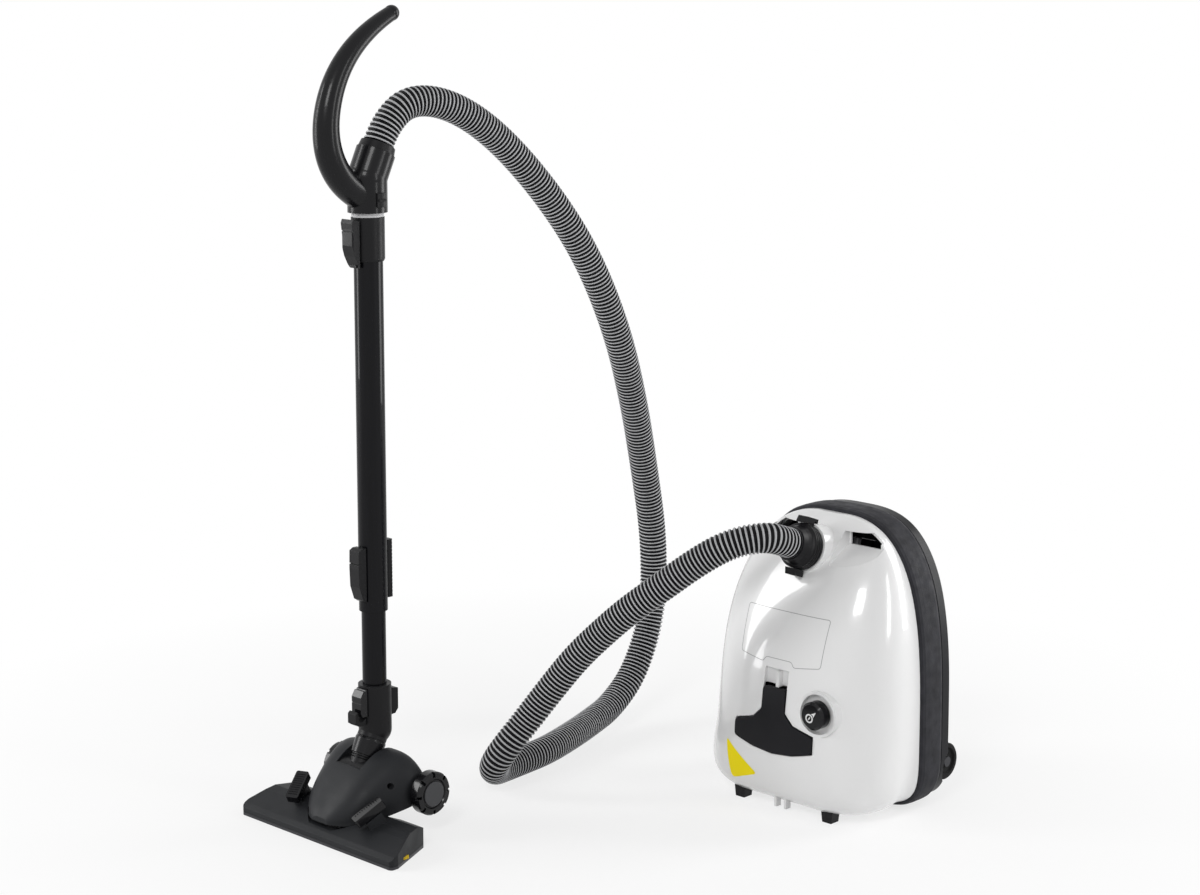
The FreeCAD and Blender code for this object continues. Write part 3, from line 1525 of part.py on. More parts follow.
def sole_plan():
    return [
        (-d.nozzle_half_width, -d.nozzle_front),
        (d.nozzle_half_width, -d.nozzle_front),
        (d.nozzle_half_width, -d.nozzle_front + 12.0),
        (d.nozzle_rear_half_width, -d.nozzle_rear),
        (-d.nozzle_rear_half_width, -d.nozzle_rear),
        (-d.nozzle_half_width, -d.nozzle_front + 12.0),
    ]


def sole_housing():
    """The two wings and the low bed under the cover, hollow over the suction mouth."""
    base = d.sole_thickness + GAP
    hinge_y, hinge_z = -d.sole_hinge_y, d.sole_hinge_z
    side = [
        (-d.nozzle_front, base),
        (-d.nozzle_front, 11.0),
        (-d.nozzle_front + 6.0, 16.0),
        (-d.nozzle_front + 34.0, 29.5),
        (-62.0, 34.0),
        (-40.0, 34.0),
        (-d.nozzle_rear, 26.0),
        (-d.nozzle_rear, base),
    ]
    form = common(padded("YZ", side, (-2 * OPEN, 2 * OPEN)), padded("XY", sole_plan(), (0.0, OPEN), 5.0))
    bed = padded("XY", cover_plan(2.5), (18.0, OPEN))
    room = d.strip_half_length + 4.0
    hollow = box((-room, room), (-d.nozzle_front + 8.0, -d.nozzle_rear - 10.0), (0.0, 15.0))
    mouth = box(
        (-d.mouth_half_width, d.mouth_half_width), (-mouth_middle - 10.0, 10.0 - mouth_middle), (0.0, 15.0)
    )
    throat = box((-20.0, 20.0), (-66.0, -40.0), (10.0, OPEN))
    ears = []
    for low in (12.3, -24.3):
        post = box((low, low + 12.0), (hinge_y - 5.0, hinge_y + 5.0), (16.0, hinge_z))
        ears.append(fuse(post, cylinder(5.0, 12.0, (low, hinge_y, hinge_z), "x")))
    hinge_pin = cylinder(d.sole_pin_radius, 48.6, (-24.3, hinge_y, hinge_z), "x")
    stands, bays = [], []
    for turn in (1, -1):
        stand = box((-7.0, 7.0), (-12.0, 12.0), (-29.0, -2.5))
        stands.append(on_pedal(stand, turn))
        bays.append(on_pedal(box((-3.3, 3.3), (-9.5, 9.5), (-16.0, OPEN / 2)), turn))
    pins = [on_pedal(cylinder(d.pedal_pin_radius, 13.0, (-6.5, 0, PEDAL_PIN_Z), "x"), turn) for turn in (1, -1)]
    lifter_ways = [lifter_box(side_sign, GAP, OPEN) for side_sign in (1, -1)]
    open_body = cut(form, bed, hollow, mouth, throat, *lifter_ways)
    return fuse(cut(fuse(open_body, *stands), *bays, hollow), *pins, *ears, hinge_pin)


def sole_plate():
    """The metal sole with its suction mouth and the slits for the brush strips."""
    plate = padded("XY", sole_plan(), (0.0, d.sole_thickness), 5.0)
    mouth = box((-d.mouth_half_width, d.mouth_half_width), (-mouth_middle - 8.0, 8.0 - mouth_middle), (-1.0, 10.0))
    half = d.strip_half_length + GAP
    slits = [
        box((-half, half), (y - d.strip_width / 2 - GAP, y + d.strip_width / 2 + GAP), (-1.0, 10.0))
        for y in strip_rows
    ]
    return cut(plate, mouth, *slits)


def brush_strips():
    """The two bristle strips and the bars that lift them together."""
    low = d.strip_clear_of_floor
    half = d.strip_half_length
    strips = [
        box((-half, half), (y - d.strip_width / 2, y + d.strip_width / 2), (low, low + d.strip_height))
        for y in strip_rows
    ]
    top = low + d.strip_height
    bars = [
        box((x - 4.0, x + 4.0), (strip_rows[0], strip_rows[1]), (top - 3.0, top)) for x in (-60.0, 60.0)
    ]
    return fuse(*strips, *bars)


def lifter_box(side, grow, reach):
    """The space of a thread lifter, lying on the sole's end beside the mouth."""
    start, end = d.mouth_half_width + 2.0 - grow, d.mouth_half_width + 14.0 + reach
    limits = (start, end) if side > 0 else (-end, -start)
    return box(
        limits,
        (-mouth_middle - 14.0 - grow, -mouth_middle - 3.0 + grow),
        (d.sole_thickness, d.sole_thickness + 4.5 + grow),
    )


def thread_lifters():
    """The bright pile pads at both ends of the mouth."""
    return [lifter_box(1, 0.0, 0.0), lifter_box(-1, 0.0, 0.0)]


def on_pedal(item, side):
    """The item, moved from a pedal's own frame to its place beside the cover."""
    turn = Rotation(Vector(0, 0, 1), -PEDAL_SPREAD * side).multiply(Rotation(Vector(1, 0, 0), PEDAL_CLIMB))
    return moved(item, (side * d.pedal_x, -d.pedal_y, d.pedal_z), turn)


def pedal(side):
    """A foot pedal with a ribbed tread, rocking on a pin in its stand."""
    half_length, half_width = d.pedal_length / 2, d.pedal_width / 2
    bar = softened(
        box((-half_width, half_width), (-half_length, half_length), (0.0, d.pedal_thickness)), 2.5, along("z")
    )
    web = box((-3.0, 3.0), (-7.0, 7.0), (-14.0, 1.0))
    grooves = [
        box((-half_width + 2.5, half_width - 2.5), (y, y + 1.4), (d.pedal_thickness - 0.8, d.pedal_thickness + 1.0))
        for y in [-half_length + 5.0 + 3.6 * k for k in range(10)]
    ]
    bore = cylinder(d.pedal_pin_radius + d.pin_gap, 20.0, (-10.0, 0, PEDAL_PIN_Z), "x")
    return on_pedal(cut(fuse(bar, web), bore, *grooves), side)


PEDAL_SPREAD = 24.0
PEDAL_CLIMB = 34.0
PEDAL_PIN_Z = -9.0
wheel_y, wheel_z = d.nozzle_wheel_y, d.nozzle_wheel_z
mouth_middle = 66.0
strip_rows = (-92.0, -40.0)

node("nozzle_cover", nozzle_cover(), WAND)
node("neck_pin", neck_pin(), WAND)
node("nozzle_wheel_right", nozzle_wheel(), WAND)
node("nozzle_wheel_left", mirrored(nozzle_wheel()), WAND)
node("nozzle_axles", [nozzle_axle(), mirrored(nozzle_axle())], WAND)
node("sole_housing", sole_housing(), WAND)
node("sole_plate", sole_plate(), WAND)
node("brush_strips", brush_strips(), WAND)
node("thread_lifters", thread_lifters(), WAND)
node("pedal_right", pedal(1), WAND)
node("pedal_left", pedal(-1), WAND)


# ---------------------------------------------------------------- hose

HOSE_ROUTE = [
    (-175, -192, 960),
    (-166, -131, 953),
    (-161, -55, 912),
    (-155, 33, 832),
    (-151, 113, 735),
    (-160, 184, 620),
    (-191, 252, 505),
    (-222, 309, 390),
    (-237, 347, 275),
    (-235, 344, 165),
    (-229, 299, 80),
    (-225, 241, 38),
    (-211, 179, 29),
    (-189, 114, 28),
    (-171, 49, 27),
    (-167, -5, 26),
    (-163, -42, 26),
    (-154, -70, 30),
    (-136, -84, 50),
    (-117, -76, 80),
    (-100, -52, 116),
    (-77, -31, 158),
    (-47, -13, 203),
    (-13, 5, 242),
    (23, 21, 278),
    (63, 41, 312),
    (103, 63, 348),
    (141, 85, 375),
    (173, 117, 384),
]


def spot_on(group, origin, turn, height):
    """A point on a turned piece's axis, in the frame of the whole vacuum cleaner."""
    corner = Vector(*[float(a) + float(b) for a, b in zip(group, origin)])
    return corner + turn.multVec(Vector(0, 0, float(height)))


def hose_route():
    """The hose's points, from its seat in the handle to its seat in the connector."""
    handle = [spot_on(WAND, HANDLE_PLACE, HANDLE_TURN, CUFF_END + lead) for lead in (0.0, 32.0)]
    inlet = [spot_on(CANISTER, INLET_PLACE, INLET_TURN, d.connector_end + lead) for lead in (22.0, 0.0)]
    return handle + [Vector(*point) for point in HOSE_ROUTE] + inlet


def rounded_path(points):
    """Straight runs joined by tangent arcs, each as large as its two runs allow."""
    edges, radii = [], []
    start = points[0]
    for before, corner, after in zip(points, points[1:], points[2:]):
        arriving, leaving = corner - before, after - corner
        reach = 0.45 * min(arriving.Length, leaving.Length)
        turn = arriving.getAngle(leaving)
        radius = reach / math.tan(turn / 2)
        arriving.normalize()
        leaving.normalize()
        inward = leaving - arriving
        inward.normalize()
        arc_start, arc_end = corner - arriving * reach, corner + leaving * reach
        arc_middle = corner + inward * (radius / math.cos(turn / 2) - radius)
        edges.append(Part.LineSegment(start, arc_start).toShape())
        edges.append(Part.Arc(arc_start, arc_middle, arc_end).toShape())
        radii.append(radius)
        start = arc_end
    edges.append(Part.LineSegment(start, points[-1]).toShape())
    return Part.Wire(edges), radii


def hose():
    """The hose's outer form along its route, with its radii and volume reported."""
    points = hose_route()
    path, radii = rounded_path(points)
    radius = float(d.hose_diameter) / 2
    section = Part.Wire([Part.Circle(points[0], points[1] - points[0], radius).toShape()])
    tube = path.makePipeShell([section], True, False)
    expected = math.pi * radius ** 2 * path.Length
    print("Hose length", round(path.Length, 1), "volume over section times length", round(tube.Volume / expected, 5))
    print("Hose arc radii", [round(value, 1) for value in radii])
    return solid_of(tube)


node("hose", hose())


# ---------------------------------------------------------------- checks and export

doc.recompute()
failed = [item.Name for item in doc.Objects if "Invalid" in item.State or "Error" in item.State]
if failed:
    raise RuntimeError(f"These objects did not compute: {failed}")
for made in NODES:
    if made.Shape.isNull() or not made.Shape.isValid() or not made.Shape.Solids:
        raise RuntimeError(f"{made.Label} has no valid solid")

os.makedirs("parts", exist_ok=True)
for made in NODES:
    made.Shape.exportStep(f"parts/{made.Label}.step")
print("Nodes written:", len(NODES))
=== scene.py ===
import math

import bmesh
import bpy
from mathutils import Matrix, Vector
from mathutils.bvhtree import BVHTree


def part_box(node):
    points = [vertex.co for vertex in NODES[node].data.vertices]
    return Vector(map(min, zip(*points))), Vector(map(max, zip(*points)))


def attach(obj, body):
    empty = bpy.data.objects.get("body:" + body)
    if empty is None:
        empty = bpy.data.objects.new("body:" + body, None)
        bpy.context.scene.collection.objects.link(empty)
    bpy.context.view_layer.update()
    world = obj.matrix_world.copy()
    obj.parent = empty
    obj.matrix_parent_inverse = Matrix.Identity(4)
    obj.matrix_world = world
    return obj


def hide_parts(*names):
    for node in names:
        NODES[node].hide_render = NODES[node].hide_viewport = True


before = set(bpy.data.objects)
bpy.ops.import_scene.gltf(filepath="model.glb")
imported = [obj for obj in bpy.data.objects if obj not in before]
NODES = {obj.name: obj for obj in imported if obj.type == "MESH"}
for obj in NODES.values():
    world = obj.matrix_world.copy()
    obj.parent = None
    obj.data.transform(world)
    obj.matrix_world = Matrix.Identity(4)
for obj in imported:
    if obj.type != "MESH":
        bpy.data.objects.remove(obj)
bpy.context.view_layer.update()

scene = bpy.context.scene
scene.view_settings.view_transform = "Standard"


# ---------------------------------------------------------------- camera

IMAGE_WIDTH = 1200
SENSOR_WIDTH = 36.0
CAMERA_PLACE = (2.203, -2.308, 1.132)
CAMERA_YAW = 43.88
CAMERA_PITCH = -9.0
CAMERA_FOCAL_PIXELS = 2442.0
CAMERA_DROP_PIXELS = 96.0

camera_data = bpy.data.cameras.new("camera")
camera_data.sensor_width = SENSOR_WIDTH
camera_data.lens = SENSOR_WIDTH * CAMERA_FOCAL_PIXELS / IMAGE_WIDTH
camera_data.shift_y = -CAMERA_DROP_PIXELS / IMAGE_WIDTH
camera_data.clip_end = 50.0
camera = bpy.data.objects.new("camera", camera_data)
camera.location = CAMERA_PLACE
camera.rotation_euler = (math.radians(90.0 + CAMERA_PITCH), 0.0, math.radians(CAMERA_YAW))
scene.collection.objects.link(camera)
scene.camera = camera


# ---------------------------------------------------------------- materials

BEVEL_SAMPLES = 4
BLACK_SHINE = 0.14
SOFT_EDGE = 0.0009
COLLAR_BAND = (0.8121, 0.9)
HUB_RADIUS = 0.0168
BRUSHED = (1.0, 1.0, 12.0)


class Shader:
    """A node material built up step by step from object coordinates."""

    def __init__(self, name, colour, roughness, metallic=0.0):
        self.material = bpy.data.materials.new(name)
        self.material.use_nodes = True
        self.nodes = self.material.node_tree.nodes
        self.links = self.material.node_tree.links
        self.surface = self.nodes["Principled BSDF"]
        self.surface.inputs["Metallic"].default_value = metallic
        self.place = self.nodes.new("ShaderNodeTexCoord").outputs["Object"]
        self.colour, self.roughness = colour, roughness
        self.bumps = None

    def noise(self, scale, detail=3.0, stretch=(1.0, 1.0, 1.0)):
        mapping = self.nodes.new("ShaderNodeMapping")
        mapping.inputs["Scale"].default_value = stretch
        self.links.new(self.place, mapping.inputs["Vector"])
        texture = self.nodes.new("ShaderNodeTexNoise")
        texture.inputs["Scale"].default_value = scale
        texture.inputs["Detail"].default_value = detail
        self.links.new(mapping.outputs["Vector"], texture.inputs["Vector"])
        return texture.outputs["Fac"]

    def spread(self, fac, low, high, start=0.3, end=0.7):
        """The number or colour between low and high that fac picks."""
        ramp = self.nodes.new("ShaderNodeMapRange")
        ramp.inputs["From Min"].default_value = start
        ramp.inputs["From Max"].default_value = end
        ramp.inputs["To Min"].default_value = low
        ramp.inputs["To Max"].default_value = high
        self.links.new(fac, ramp.inputs["Value"])
        return ramp.outputs["Result"]

    def cover(self, fac, other):
        """Lays another colour over what is there, as far as fac says."""
        mix = self.nodes.new("ShaderNodeMix")
        mix.data_type = "RGBA"
        self.links.new(fac, mix.inputs["Factor"])
        base = self.surface.inputs["Base Color"]
        if base.is_linked:
            self.links.new(base.links[0].from_socket, mix.inputs["A"])
        else:
            mix.inputs["A"].default_value = (*self.colour, 1.0)
        mix.inputs["B"].default_value = (*other, 1.0)
        self.links.new(mix.outputs["Result"], base)
        return self

    def tint(self, fac, other, amount):
        """Mixes another colour in where fac is high."""
        return self.cover(self.spread(fac, 0.0, amount), other)

    def measure(self, kind, first, second=None):
        """One step of arithmetic on numbers or sockets."""
        node = self.nodes.new("ShaderNodeMath")
        node.operation = kind
        for socket, value in zip(node.inputs, (first, second)):
            if value is None:
                continue
            if isinstance(value, (int, float)):
                socket.default_value = value
            else:
                self.links.new(value, socket)
        return node.outputs["Value"]

    def along(self, axis):
        """The object's x, y or z as a socket."""
        split = self.nodes.new("ShaderNodeSeparateXYZ")
        self.links.new(self.place, split.inputs["Vector"])
        return split.outputs[axis]

    def inside_band(self, axis, low, high):
        """1 between two places along an axis, 0 elsewhere."""
        above = self.measure("GREATER_THAN", self.along(axis), low)
        below = self.measure("LESS_THAN", self.along(axis), high)
        return self.measure("MULTIPLY", above, below)

    def inside_rod(self, centre, radius):
        """1 within a radius of the line along x through the centre, 0 elsewhere."""
        offsets = [self.measure("SUBTRACT", self.along(axis), centre[axis]) for axis in (1, 2)]
        squares = [self.measure("MULTIPLY", offset, offset) for offset in offsets]
        reach = self.measure("SQRT", self.measure("ADD", *squares))
        return self.measure("LESS_THAN", reach, radius)

    def polish(self, fac, width):
        """Lets the roughness vary by this width as fac does."""
        low, high = self.roughness - width / 2, self.roughness + width / 2
        self.links.new(self.spread(fac, low, high), self.surface.inputs["Roughness"])
        return self

    def bump(self, fac, height, strength=1.0):
        node = self.nodes.new("ShaderNodeBump")
        node.inputs["Distance"].default_value = height
        node.inputs["Strength"].default_value = strength
        self.links.new(fac, node.inputs["Height"])
        if self.bumps is not None:
            self.links.new(self.bumps, node.inputs["Normal"])
        self.bumps = node.outputs["Normal"]
        self.links.new(self.bumps, self.surface.inputs["Normal"])
        return self

    def soften(self, radius):
        """Rounds the look of sharp edges, before any bump is added."""
        node = self.nodes.new("ShaderNodeBevel")
        node.samples = BEVEL_SAMPLES
        node.inputs["Radius"].default_value = radius
        self.bumps = node.outputs["Normal"]
        return self

    def coat(self, weight, roughness=0.05):
        self.surface.inputs["Coat Weight"].default_value = weight
        self.surface.inputs["Coat Roughness"].default_value = roughness
        return self


def moulding(name, colour, roughness, grain=900.0, depth=0.00003, shade=0.85, coat=0.0, shine=0.5, edge=0.0):
    """Moulded plastic: slight colour and polish variation and a fine grain."""
    made = Shader(name, colour, roughness)
    made.surface.inputs["Specular IOR Level"].default_value = shine
    if edge:
        made.soften(edge)
    darker = tuple(shade * channel for channel in colour)
    made.tint(made.noise(14.0), darker, 0.6)
    made.polish(made.noise(32.0), 0.3 * roughness)
    made.bump(made.noise(grain, 2.0), depth)
    if coat:
        made.coat(coat)
    return made


def moulded(*settings, **more):
    """The material of a moulding that needs nothing more."""
    return moulding(*settings, **more).material


def black(*settings, **more):
    """A black moulded plastic, which shines less than the others."""
    return moulded(*settings, shine=BLACK_SHINE, **more)


def glossy_shell(name, colour):
    """Glossy shell plastic with a faint flow pattern under a clear skin."""
    made = Shader(name, colour, 0.22).soften(0.0012)
    made.tint(made.noise(6.0), tuple(0.96 * channel for channel in colour), 0.7)
    made.polish(made.noise(18.0), 0.06)
    made.bump(made.noise(40.0, 2.0), 0.00002)
    return made.coat(0.6, 0.04).material


def leathery(name, colour):
    """Soft bumper plastic with a coarse leather-like grain and pale scuffs."""
    made = Shader(name, colour, 0.62)
    made.tint(made.noise(55.0, 6.0), tuple(2.6 * channel for channel in colour), 0.5)
    made.polish(made.noise(90.0), 0.2)
    made.bump(made.noise(420.0, 4.0), 0.00018)
    made.bump(made.noise(1500.0, 2.0), 0.00005)
    made.surface.inputs["Specular IOR Level"].default_value = BLACK_SHINE
    return made.material


def lacquered(name, colour):
    """Black lacquer on a drawn tube, with faint lines along it."""
    made = Shader(name, colour, 0.3)
    made.surface.inputs["Specular IOR Level"].default_value = 0.04
    made.tint(made.noise(60.0, 2.0, (4.0, 4.0, 0.2)), tuple(1.8 * channel for channel in colour), 0.5)
    made.polish(made.noise(200.0, 2.0, (3.0, 3.0, 0.1)), 0.06)
    made.bump(made.noise(300.0, 2.0, (3.0, 3.0, 0.1)), 0.00001)
    return made.coat(0.22, 0.03).material


def metal(name, colour, roughness):
    """Bare metal with a fine brushed grain."""
    made = Shader(name, colour, roughness, 1.0)
    made.tint(made.noise(40.0), tuple(0.75 * channel for channel in colour), 0.5)
    made.polish(made.noise(260.0, 2.0, BRUSHED), 0.15)
    made.bump(made.noise(700.0, 2.0, BRUSHED), 0.00001)
    return made.material


def fibrous(name, colour, scale=1400.0):
    """Felted or bristly fibres."""
    made = Shader(name, colour, 0.9)
    made.tint(made.noise(scale / 6, 5.0), tuple(0.6 * channel for channel in colour), 0.8)
    made.polish(made.noise(200.0), 0.1)
    made.bump(made.noise(scale, 4.0), 0.0003)
    return made.material


def collared(name, colour, collar):
    """The sleeve's black, with its pale collar ring."""
    made = moulding(name, colour, 0.36, shine=BLACK_SHINE, edge=0.0008)
    return made.cover(made.inside_band(2, *COLLAR_BAND), collar).material


def hubbed(name, colour, hub):
    """The nozzle wheels' gloss black, with a duller hub."""
    made = moulding(name, colour, 0.2, 300.0, 0.00001, coat=0.25, shine=BLACK_SHINE, edge=0.0008)
    centre = [(low + high) / 2 for low, high in zip(*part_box("nozzle_wheel_right"))]
    return made.cover(made.inside_rod(centre, HUB_RADIUS), hub).material


WHITE = glossy_shell("white_shell", (0.80, 0.80, 0.80))
CHARCOAL = leathery("charcoal_bumper", (0.017, 0.017, 0.020))
SATIN_BLACK = black("satin_black", (0.010, 0.010, 0.011), 0.36, edge=SOFT_EDGE)
COVER_BLACK = black("cover_black", (0.010, 0.010, 0.012), 0.34, 500.0, 0.00005, edge=SOFT_EDGE)
NOZZLE_BLACK = black("nozzle_black", (0.017, 0.018, 0.020), 0.48, 600.0, 0.00006, edge=0.0014)
GLOSS_BLACK = black("gloss_black", (0.005, 0.005, 0.006), 0.16, 300.0, 0.00001, coat=0.25)
HANDLE_BLACK = black("handle_black", (0.007, 0.007, 0.008), 0.24, 500.0, 0.00002, coat=0.1, edge=SOFT_EDGE)
INNER_GREY = moulded("inner_grey", (0.20, 0.20, 0.21), 0.55)
TUBE_BLACK = lacquered("tube_lacquer", (0.003, 0.003, 0.004))
# The hose itself is dark grey. The pale crest colour is a painted highlight along each rib, and the
# near-black valley colour is that dark grey deepened by painted shade in the grooves.
HOSE_CREST_HIGHLIGHT = moulded("hose_crest", (0.44, 0.445, 0.455), 0.4, 700.0, 0.00002, shine=0.15)
HOSE_VALLEY_SHADE = moulded("hose_valley", (0.003, 0.003, 0.004), 0.5, 700.0, 0.00002, shine=0.1)
STEEL = metal("turned_steel", (0.55, 0.55, 0.56), 0.3)
DARK_STEEL = metal("blackened_steel", (0.06, 0.06, 0.065), 0.35)
FAN_METAL = metal("pressed_aluminium", (0.70, 0.70, 0.71), 0.38)
BOARD = moulded("board_green", (0.03, 0.12, 0.05), 0.5)
FLEECE = fibrous("filter_fleece", (0.72, 0.71, 0.66))
BRISTLE = fibrous("bristle_black", (0.03, 0.03, 0.03), 2200.0)
PILE = fibrous("pile_yellow", (0.80, 0.55, 0.02), 2200.0)
RUBBER = black("soft_rubber", (0.012, 0.012, 0.012), 0.75)
LABEL_YELLOW = moulded("plain_yellow", (0.95, 0.78, 0.003), 0.4, 400.0, 0.00001, shade=0.95, shine=0.15)
# The seam's grey is painted shade for the groove around the panel; the shell there is white.
SEAM_SHADE_GREY = moulded("seam_grey", (0.30, 0.30, 0.31), 0.5)
SLEEVE = collared("sleeve_and_collar", (0.010, 0.010, 0.011), (0.55, 0.55, 0.56))
NOZZLE_WHEEL = hubbed("wheel_with_hub", (0.006, 0.006, 0.007), (0.055, 0.056, 0.06))
MARK_WHITE = moulded("mark_white", (0.80, 0.80, 0.80), 0.4)

LOOKS = {
    WHITE: ["upper_housing"],
    CHARCOAL: ["belt_bumper"],
    COVER_BLACK: ["exhaust_cover", "lower_housing", "bag_door"],
    SATIN_BLACK: ["door_latch", "tail_feet", "inlet_socket", "hose_connector", "connector_latch_upper",
                  "connector_latch_lower", "hose_cuff", "relief_slider", "tube_latch",
                  "telescope_latch", "telescope_grip", "elbow_socket", "park_hook", "neck",
                  "castor_fork_right", "castor_fork_left"],
    HANDLE_BLACK: ["handle_shell_right", "handle_shell_left", "swivel_collar"],
    NOZZLE_BLACK: ["nozzle_cover", "sole_housing"],
    GLOSS_BLACK: ["power_knob", "pedal_right", "pedal_left", "elbow_latch"],
    INNER_GREY: ["chamber_wall", "bag_holder", "motor_housing", "cord_reel"],
    TUBE_BLACK: ["upper_tube", "lower_tube"],
    STEEL: ["switch_shaft", "motor_rotor", "reel_axle", "door_pin"],
    DARK_STEEL: ["rear_axles", "neck_pin", "nozzle_axles", "sole_plate"],
    FAN_METAL: ["motor_fan"],
    BOARD: ["control_board"],
    FLEECE: ["exhaust_filter", "motor_filter", "dust_bag"],
    BRISTLE: ["brush_strips"],
    PILE: ["thread_lifters"],
    RUBBER: ["motor_mounts", "rear_wheel_right", "rear_wheel_left", "castor_wheel_right",
             "castor_wheel_left"],
    HOSE_CREST_HIGHLIGHT: ["hose"],
    SLEEVE: ["tube_socket"],
    NOZZLE_WHEEL: ["nozzle_wheel_right", "nozzle_wheel_left"],
}

for look, names in LOOKS.items():
    for name in names:
        mesh = NODES[name].data
        mesh.materials.clear()
        mesh.materials.append(look)


# ---------------------------------------------------------------- hose

HOSE_POINTS = [
    (-0.1815, -0.24133, 0.90097),
    (-0.1815, -0.22780, 0.92997),
    (-0.175, -0.192, 0.960),
    (-0.166, -0.131, 0.953),
    (-0.161, -0.055, 0.912),
    (-0.155, 0.033, 0.832),
    (-0.151, 0.113, 0.735),
    (-0.160, 0.184, 0.620),
    (-0.191, 0.252, 0.505),
    (-0.222, 0.309, 0.390),
    (-0.237, 0.347, 0.275),
    (-0.235, 0.344, 0.165),
    (-0.229, 0.299, 0.080),
    (-0.225, 0.241, 0.038),
    (-0.211, 0.179, 0.029),
    (-0.189, 0.114, 0.028),
    (-0.171, 0.049, 0.027),
    (-0.167, -0.005, 0.026),
    (-0.163, -0.042, 0.026),
    (-0.154, -0.070, 0.030),
    (-0.136, -0.084, 0.050),
    (-0.117, -0.076, 0.080),
    (-0.100, -0.052, 0.116),
    (-0.077, -0.031, 0.158),
    (-0.047, -0.013, 0.203),
    (-0.013, 0.005, 0.242),
    (0.023, 0.021, 0.278),
    (0.063, 0.041, 0.312),
    (0.103, 0.063, 0.348),
    (0.141, 0.085, 0.375),
    (0.173, 0.117, 0.384),
    (0.1805, 0.14648, 0.37457),
    (0.1805, 0.16715, 0.36705),
]
HOSE_DIAMETER = 0.041
RIB_PITCH = 0.0060
RIB_DEPTH = 0.0025
RIB_PROFILE = [0.0, 0.0, 0.22, 0.75, 1.0, 1.0, 0.75, 0.22]
RIB_STEPS = len(RIB_PROFILE)
RIB_CREST = (0, 1, 7)
HOSE_SIDES = 28
ROUTE_STEPS = 24


def link(name, mesh, look=None):
    """An object of this mesh in the scene."""
    made = bpy.data.objects.new(name, mesh)
    scene.collection.objects.link(made)
    if look is not None:
        mesh.materials.append(look)
    return made


def finished(mesh_maker, name):
    """The mesh that is built, with its faces turned outwards."""
    bmesh.ops.recalc_face_normals(mesh_maker, faces=mesh_maker.faces)
    mesh = bpy.data.meshes.new(name)
    mesh_maker.to_mesh(mesh)
    mesh_maker.free()
    return mesh


def smooth_route(points):
    """Points along the NURBS line that has these control points."""
    curve = bpy.data.curves.new("route", "CURVE")
    curve.dimensions = "3D"
    spline = curve.splines.new("NURBS")
    spline.points.add(len(points) - 1)
    for target, point in zip(spline.points, points):
        target.co = (*point, 1.0)
    spline.order_u = 3
    spline.use_endpoint_u = True
    spline.resolution_u = ROUTE_STEPS
    holder = bpy.data.objects.new("route", curve)
    scene.collection.objects.link(holder)
    bpy.context.view_layer.update()
    mesh = bpy.data.meshes.new_from_object(holder)
    route = [vertex.co.copy() for vertex in mesh.vertices]
    bpy.data.meshes.remove(mesh)
    bpy.data.objects.remove(holder)
    bpy.data.curves.remove(curve)
    return route


def even_steps(route, step):
    """The route again, in steps of one length."""
    gaps = [(b - a).length for a, b in zip(route, route[1:])]
    total = sum(gaps)
    count = max(int(round(total / step)), 1)
    spots, k, done = [], 0, 0.0
    for index in range(count + 1):
        target = min(total * index / count, total - 1e-9)
        while done + gaps[k] < target:
            done += gaps[k]
            k += 1
        spots.append(route[k].lerp(route[k + 1], (target - done) / gaps[k]))
    return spots, total


def corrugated_hose():
    """The hose with its ribs: a painted highlight in pale grey on their crests, and near black between them,
    which is the hose's own dark grey with painted shade.
    """
    route = smooth_route(HOSE_POINTS)
    spots, total = even_steps(route, RIB_PITCH / RIB_STEPS)
    mesh_maker = bmesh.new()
    side = None
    rings = []
    for k, spot in enumerate(spots):
        ahead = (spots[min(k + 1, len(spots) - 1)] - spots[max(k - 1, 0)]).normalized()
        if side is None:
            side = ahead.orthogonal().normalized()
        side = (side - ahead * side.dot(ahead)).normalized()
        across = ahead.cross(side)
        radius = HOSE_DIAMETER / 2 - RIB_DEPTH * RIB_PROFILE[k % RIB_STEPS]
        ring = []
        for corner in range(HOSE_SIDES):
            turn = 2 * math.pi * corner / HOSE_SIDES
            offset = side * math.cos(turn) + across * math.sin(turn)
            ring.append(mesh_maker.verts.new(spot + offset * radius))
        rings.append(ring)
    for k, (low, high) in enumerate(zip(rings, rings[1:])):
        # Crest faces take the painted highlight material and valley faces take the painted shade material.
        valley = k % RIB_STEPS not in RIB_CREST
        for corner in range(HOSE_SIDES):
            after = (corner + 1) % HOSE_SIDES
            face = mesh_maker.faces.new((low[corner], low[after], high[after], high[corner]))
            face.smooth = True
            face.material_index = 1 if valley else 0
    for ring in (rings[0], rings[-1]):
        mesh_maker.faces.new(ring)
    made = link("ribbed_hose", finished(mesh_maker, "ribbed_hose"), HOSE_CREST_HIGHLIGHT)
    made.data.materials.append(HOSE_VALLEY_SHADE)
    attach(made, "machine")
    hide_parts("hose")


corrugated_hose()


# ---------------------------------------------------------------- marks on the knob

MARK_LIFT = 0.00015
MARK_DEPTH = 0.0004
RING_SECTORS = 32
KNOB_RING = (0.0042, 0.0062)
KNOB_BAR = [(-0.0008, -0.0024), (0.0008, -0.0024), (0.0008, 0.0024), (-0.0008, 0.0024)]
KNOB_BAR_TURN = -35.0
KNOB_POINTER = [(0.0066, -0.0028), (0.0150, 0.0), (0.0066, 0.0028), (0.0080, 0.0)]
KNOB_POINTER_TURN = 42.0
KNOB_MARKS_SHIFT = (-0.0032, -0.0030)


